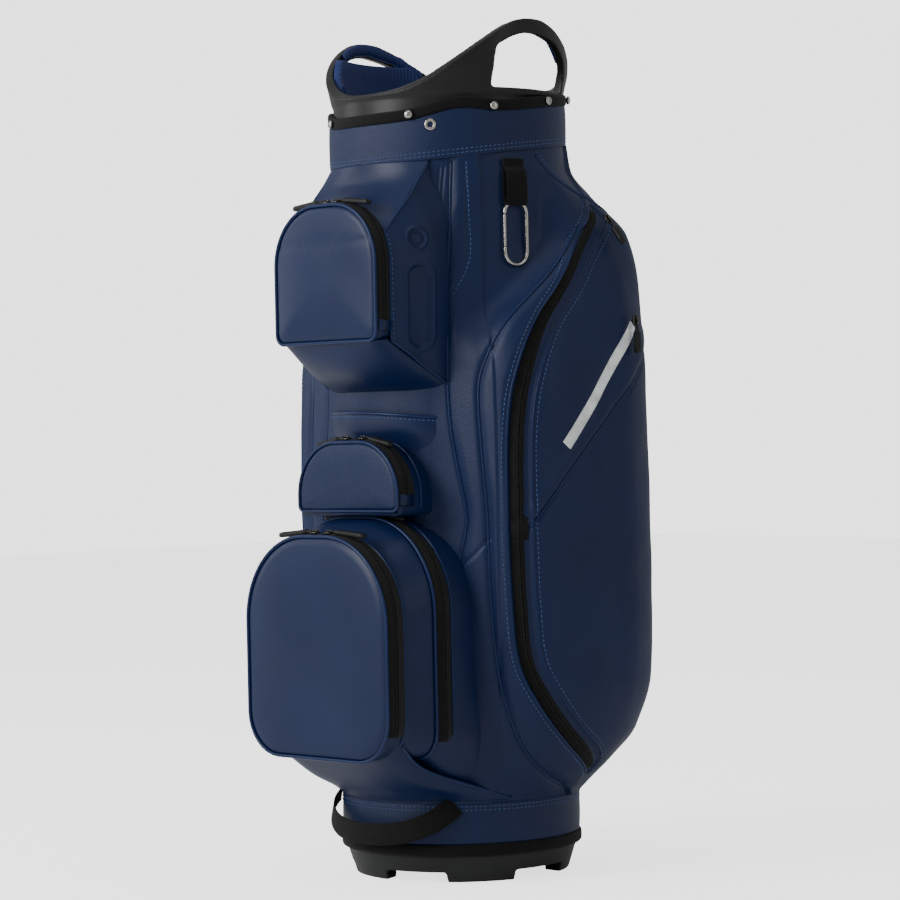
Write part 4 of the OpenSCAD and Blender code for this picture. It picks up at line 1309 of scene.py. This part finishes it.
def make_top():
    make_collar()

    def liner_low(deg):
        return np.full(len(deg), 0.8385)

    def liner_high(deg):
        return 0.909 - 0.034 * smooth_step(27, 46, np.abs(deg - 185))

    liner = ribbed_sector("grip_liner_panel", 0.1175, 0.1085, liner_low, liner_high, 139, 231, 2.1, 0.0013,
                          "ribbed_rubber", 0.0085)
    finish_piece(liner, "bag", "grip_liner")
    grips = []
    for side in (1, -1):
        y = np.linspace(-0.047, 0.066, 400)
        low = np.interp(y, [-0.048, -0.024, 0, 0.036, 0.060, 0.068], [0.906, 0.9185, 0.921, 0.913, 0.896, 0.892])
        high = np.interp(y, [-0.048, -0.035, -0.015, 0.010, 0.045, 0.068], [0.9185, 0.9265, 0.9335, 0.9335, 0.9215, 0.903])
        high = np.maximum(high, low + 0.002)
        rib = 0.0009 * (0.5 + 0.5 * np.cos(y / 0.0036 * 2 * math.pi)) ** 0.6
        rings = []
        for r, z in ((0.1278, low), (0.1262, low), (0.1250 - rib, low + 0.001), (0.1246 - rib, (low + high) / 2),
                     (0.1250 - rib, high - 0.001), (0.1262, high), (0.1278, high)):
            x = np.sqrt(r**2 - y**2)
            rings.append(np.stack([side * x, y, z], 1))
        stack = np.stack(rings, 1)
        faces = grid_faces(len(y), 7, False, True)
        faces.append(tuple(range(7)))
        faces.append(tuple(range((len(y) - 1) * 7, len(y) * 7))[::-1])
        part = make_object(f"grip_{side}", stack.reshape(-1, 3), faces, "ribbed_rubber")
        fix_normals(part)
        grips.append(part)
    finish_piece(join("handle_grips_panels", *grips), "bag", "handle_grips")

    cuff = ring_band("collar_cuff_band", 0.1273, CUFF_R, lambda d: tilted(0.793, d), lambda d: tilted(0.838, d, 0.008),
                     "navy_emboss", 0.0014, 0.0006)
    rows = [ring_stitches(f"cuff_row_{k}", CUFF_R + 0.0002, lambda d, h=h: tilted(h, d)) for k, h in
            enumerate((0.7975, 0.8015))]
    finish_piece(join("collar_cuff_band", cuff, *rows), "bag", "collar_cuff")
    binding = ring_band("collar_binding_band", 0.1273, CUFF_R + 0.0012, lambda d: tilted(0.8375, d, 0.008),
                        lambda d: tilted(0.850, d, 0.008), "webbing", 0.0026, 0.0004)
    finish_piece(binding, "bag", "collar_binding")
    studs = []
    for k, deg in enumerate(STUD_DIRECTIONS):
        t = math.radians(deg)
        out = np.array([math.cos(t), math.sin(t), 0])
        place = out * 0.128 + [0, 0, 0.844 + math.tan(CUFF_TILT) * CUFF_R * math.sin(t)]
        profile = [(0.0026, 0), (0.0026, 0.0058), (0.0042, 0.0062), (0.0048, 0.0074), (0.0046, 0.0086),
                   (0.0036, 0.0097), (0.0018, 0.0101), (0.0002, 0.0102)]
        studs.append(lathe(f"stud_{k}", profile, place, out, "nickel"))
    finish_piece(join("snap_stud_heads", *studs), "bag", "snap_studs")
    t = math.radians(EYELET_DIRECTION)
    out = np.array([math.cos(t), math.sin(t), 0])
    place = out * 0.128 + [0, 0, 0.831 + math.tan(CUFF_TILT) * CUFF_R * math.sin(t)]
    ring = [(0.003, 0), (0.003, 0.0048), (0.0034, 0.0056), (0.0045, 0.0062), (0.0058, 0.0059), (0.0066, 0.0049),
            (0.0068, 0.0040), (0.0060, 0.0038), (0.0060, 0), (0.003, 0)]
    finish_piece(lathe("eyelet_ring", ring, place, out, "nickel", 48), "bag", "eyelet")


def make_dividers():
    sheet_parts = []
    rows, columns, well = (-0.066, -0.023, 0.023, 0.066), (-0.036, 0.036), 0.112

    def wall(name, start, end):
        start, end = np.array(start), np.array(end)
        across = unit(end - start)
        normal = np.array([-across[1], across[0]])
        n = max(4, int(np.linalg.norm(end - start) / 0.006))
        layers = []
        for z in np.linspace(0.0148, 0.811, 90):
            s = np.linspace(0, 1, n)
            slack = 0.0012 * np.sin(math.pi * s) * math.sin(z * 19 + start[0] * 70 + start[1] * 50)
            slack *= min(1, (0.811 - z) / 0.02, (z - 0.0148) / 0.02 + 0.0)
            xy = start + (end - start) * s[:, None] + normal * slack[:, None]
            layers.append(np.column_stack([xy, np.full(n, z)]))
        face = np.array(layers)
        off = np.array([normal[0], normal[1], 0]) * 0.0006
        stack = np.concatenate([face - off, (face + off)[::-1]])
        rows_n = stack.shape[0]
        faces = grid_faces(rows_n, n, True, False)
        for k in range(89):
            for c in (0, n - 1):
                faces.append((k * n + c, (k + 1) * n + c, (rows_n - 2 - k) * n + c, (rows_n - 1 - k) * n + c))
        obj = make_object(name, stack.reshape(-1, 3), faces, "lining", stack.reshape(-1, 3)[:, [0, 2]])
        fix_normals(obj)
        return obj

    for y in rows:
        half = math.sqrt(well**2 - y**2) - 0.0005
        sheet_parts.append(wall("sheet", (-half, y), (half, y)))
    edges = (-0.115,) + rows + (0.115,)
    for k in range(5):
        for x in (0.0,) if k == 4 else columns:
            limit = math.sqrt(well**2 - x**2)
            low, high = max(edges[k] + 0.0008, -limit), min(edges[k + 1] - 0.0008, limit)
            sheet_parts.append(wall("sheet", (x, low), (x, high)))
    finish_piece(join("divider_walls", *sheet_parts), "bag", "divider_sheets")


# ---------- base ----------
def flat_edge(z):
    return lambda deg: np.full(len(deg), z)


def make_base():
    binding = ring_band("base_binding_band", 0.1263, CUFF_R + 0.0017, flat_edge(0.0293), flat_edge(0.0425), "webbing",
                        0.003, 0.0004)
    finish_piece(binding, "bag", "base_binding")
    cuff = ring_band("base_cuff_band", 0.1263, CUFF_R, flat_edge(0.0425), flat_edge(0.0875), "navy_emboss", 0.0016,
                     0.0008)
    rows = [ring_stitches(f"base_row_{k}", CUFF_R + 0.0004, flat_edge(h)) for k, h in enumerate((0.0795, 0.0835))]
    finish_piece(join("base_cuff_band", cuff, *rows), "bag", "base_cuff")
    cup = softened_copy("base_cup", "base_cup_moulding", "base_plastic", 0.0016, 5)
    finish_piece(cup, "bag", "base_cup")


# ---------- carabiner, straps and the back ----------
def band_profile(width, thick):
    h, t = width / 2, thick / 2
    return [(-h, -t * 0.3), (-h, t * 0.3), (-h + t, t), (-h * 0.5, t), (0, t), (h * 0.5, t), (h - t, t), (h, t * 0.3),
            (h, -t * 0.3), (h - t, -t), (h * 0.5, -t), (0, -t), (-h * 0.5, -t), (-h + t, -t)]


def hang(points):
    """Points in the frame of the carabiner: x outwards, y round the bag, z up from the loop's middle."""
    t = math.radians(-14)
    p = np.asarray(points, float)
    x, y = 0.139 + p[:, 0], p[:, 1]
    return np.stack([x * math.cos(t) - y * math.sin(t), x * math.sin(t) + y * math.cos(t), 0.7005 + p[:, 2]], 1)


def make_carabiner():
    half, r = 0.0205, 0.014
    path = [(0, -r, -half + 0.005), (0, -r, -half)]
    for a in np.linspace(180, 360, 25):
        path.append((0, r * math.cos(math.radians(a)), -half + r * math.sin(math.radians(a))))
    for a in np.linspace(0, 180, 25):
        path.append((0, r * math.cos(math.radians(a)), half + r * math.sin(math.radians(a))))
    path = hang(path)
    wire = pipe("carabiner_wire", resample(path, 0.0015), 0.002, "nickel", sides=16)
    finish_piece(wire, "carabiner", "carabiner")
    gate_path = hang([(0, -r, -half + 0.0053), (0, -r, 0), (0, -r, half - 0.0003)])
    gate = pipe("carabiner_gate_bar", resample(gate_path, 0.002), 0.0017, "nickel", sides=16)
    finish_piece(gate, "carabiner_gate", "carabiner_gate")
    tab_path = hang([(-0.0042, 0, 0.0805), (-0.0042, 0, 0.060), (-0.0040, 0, 0.045), (-0.0034, 0, 0.0368),
                     (-0.0015, 0, 0.0312), (0.0016, 0, 0.0302), (0.0040, 0, 0.0345), (0.0046, 0, 0.045),
                     (0.0040, 0, 0.060), (0.0020, 0, 0.067), (-0.0018, 0, 0.072), (-0.0020, 0, 0.0805)])
    tab_path = curve(tab_path, 0.0012)
    t = math.radians(-14)
    side = np.array([-math.sin(t), math.cos(t), 0])
    normals = np.cross(side, tangents(tab_path, False))
    tab = sweep("webbing_tab_loop", tab_path, normals, band_profile(0.026, 0.0016), "webbing")
    row = hang([(0.0036, -0.0105, 0.062), (0.0036, 0.0105, 0.062)])
    out = np.tile([math.cos(t), math.sin(t), 0], (2, 1))
    finish_piece(join("webbing_tab_loop", tab, stitches("tab_row", row, out)), "bag", "webbing_tab")


def make_lift_strap():
    deg = np.linspace(-132, -48, 60)
    s = (deg + 90) / 42
    r = 0.1485 - 0.0145 * np.abs(s) ** 7
    z = 0.0595 + 0.026 * np.abs(s) ** 3.0 - 0.006 * (1 - np.abs(s) ** 2)
    t = np.radians(deg)
    path = np.stack([r * np.cos(t), r * np.sin(t), z], 1)
    normals = np.stack([np.cos(t), np.sin(t), 0.12 * s**2], 1)
    band = sweep("lift_strap_band", path, normals, band_profile(0.024, 0.0018), "webbing")
    finish_piece(band, "lift_strap", "lift_strap")


def make_slip_pocket():
    """The shallow open pouch between the two upper pockets, with a piped mouth."""
    s = np.linspace(-1, 1, 130)[None, :]
    v = np.linspace(0, 1, 24)[:, None]
    turn = np.radians(-90 + 42 * s) + 0 * v
    z = 0.462 + (0.5075 - 0.462 - 0.004 * s + 0.002 * np.cos(2.4 * s)) * v
    stand = 0.0085 * (1 - np.abs(s) ** 5) * smooth_step(0.0, 0.8, v)
    r = 0.1318 + stand + 0.0006 * np.sin(7 * s + 4 * v)
    p = np.stack([r * np.cos(turn), r * np.sin(turn), z], -1)
    sheet = patch("slip_pocket_panel", p, "navy_smooth", 0.002, (0, 1, 0))
    edge = pipe("slip_edge", p[-1], 0.0018)
    row = stitches("slip_row", p[-3], unit(p[-3] * [1, 1, 0]))
    finish_piece(join("slip_pocket_panel", sheet, edge, row), "bag", "slip_pocket")


def make_back():
    rings = []
    for z in (0.716, 0.300):
        a = np.linspace(0, 2 * math.pi, 64, endpoint=False)
        path = np.stack([0.020 * np.cos(a), np.full(64, 0.144), z + 0.020 * np.sin(a)], 1)
        rings.append(pipe("ring", path, 0.002, "nickel", True, 12))
    finish_piece(join("strap_ring_wires", *rings), "bag", "strap_rings")
    tabs = []
    for z, way in ((0.716, 1), (0.300, -1)):
        path = curve(np.array([(0, 0.1425, z + way * 0.052), (0, 0.1425, z + way * 0.035),
                               (0, 0.1428, z + way * 0.024), (0, 0.1455, z + way * 0.0165), (0, 0.1480, z + way * 0.020),
                               (0, 0.1465, z + way * 0.034), (0, 0.1450, z + way * 0.050)]), 0.0012)
        normals = np.cross([1.0, 0, 0], tangents(path, False))
        tabs.append(sweep("tab", path, normals, band_profile(0.030, 0.0018), "webbing"))
    finish_piece(join("ring_tabs", *tabs), "bag")
    bow, half = 0.520, 0.184
    middle = 0.144 - math.sqrt(bow**2 - half**2)
    a = np.linspace(-math.asin(half / bow), math.asin(half / bow), 120)
    path = np.stack([0 * a, middle + bow * np.cos(a), 0.508 + bow * np.sin(a)], 1)
    normals = np.stack([0 * a, np.cos(a), np.sin(a)], 1)
    share = np.abs(np.linspace(-1, 1, 120))
    thick = 0.0018 + 0.0022 * (1 - smooth_step(0.55, 0.75, share))
    width = 0.013 + 0.011 * (1 - smooth_step(0.6, 0.85, share))
    profile = np.array(band_profile(2.0, 2.0)) / [1, 1]
    profile = np.array([(x, y) for x, y in band_profile(2.0, 0.6)]) * [1, 1 / 0.3]
    side = np.tile([-1.0, 0, 0], (120, 1))
    verts = (path[:, None] + side[:, None] * (profile[None, :, :1] * width[:, None, None])
             + normals[:, None] * (profile[None, :, 1:] * thick[:, None, None]))
    faces = grid_faces(120, len(profile), False, True)
    faces.append(tuple(range(len(profile))))
    faces.append(tuple(range(119 * len(profile), 120 * len(profile)))[::-1])
    uv = np.stack([np.repeat(lengths_along(path)[:, None], len(profile), 1),
                   np.repeat(profile[None, :, 0], 120, 0) * 0.024], -1)
    strap = make_object("shoulder_strap_pad", verts.reshape(-1, 3), faces, "webbing", uv.reshape(-1, 2))
    fix_normals(strap)
    loops = []
    for z, way in ((0.716, 1), (0.300, -1)):
        start = path[-1] if way > 0 else path[0]
        mid = (start + np.array([0, 0.1455, z])) / 2 + [0, 0.004, 0]
        lane = curve(np.array([start, mid, (0, 0.1485, z - way * 0.022), (0, 0.1445, z - way * 0.0155),
                               (0, 0.1405, z - way * 0.021), (0, 0.1425, z - way * 0.03)]), 0.0012)
        loops.append(sweep("loop", lane, np.cross([1.0, 0, 0], tangents(lane, False)), band_profile(0.026, 0.0016),
                           "webbing"))
    finish_piece(join("shoulder_strap_pad", strap, *loops), "bag", "shoulder_strap")


# ---------- put together ----------
def dress_frame():
    """Materials and soft edges for the CAD nodes that show as they are."""
    for name, material, slot, width in (("stay_rods", "aluminium", "stay_aluminium", 0.0006),
                                        ("divider_grid", "collar_plastic", "collar_plastic", 0.0012)):
        node_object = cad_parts[name]
        node_object.data.materials.clear()
        node_object.data.materials.append(MATERIALS[material])
        bevel = node_object.modifiers.new("edge", "BEVEL")
        bevel.width = width
        bevel.segments = 2
        bevel.limit_method = "ANGLE"
        bevel.angle_limit = math.radians(40)


make_camera()
make_studio()
make_body()
make_side_zips()
make_front_pockets()
make_chin()
make_slip_pocket()
make_top()
make_dividers()
make_base()
make_carabiner()
make_lift_strap()
make_back()
make_all_sliders()
dress_frame()
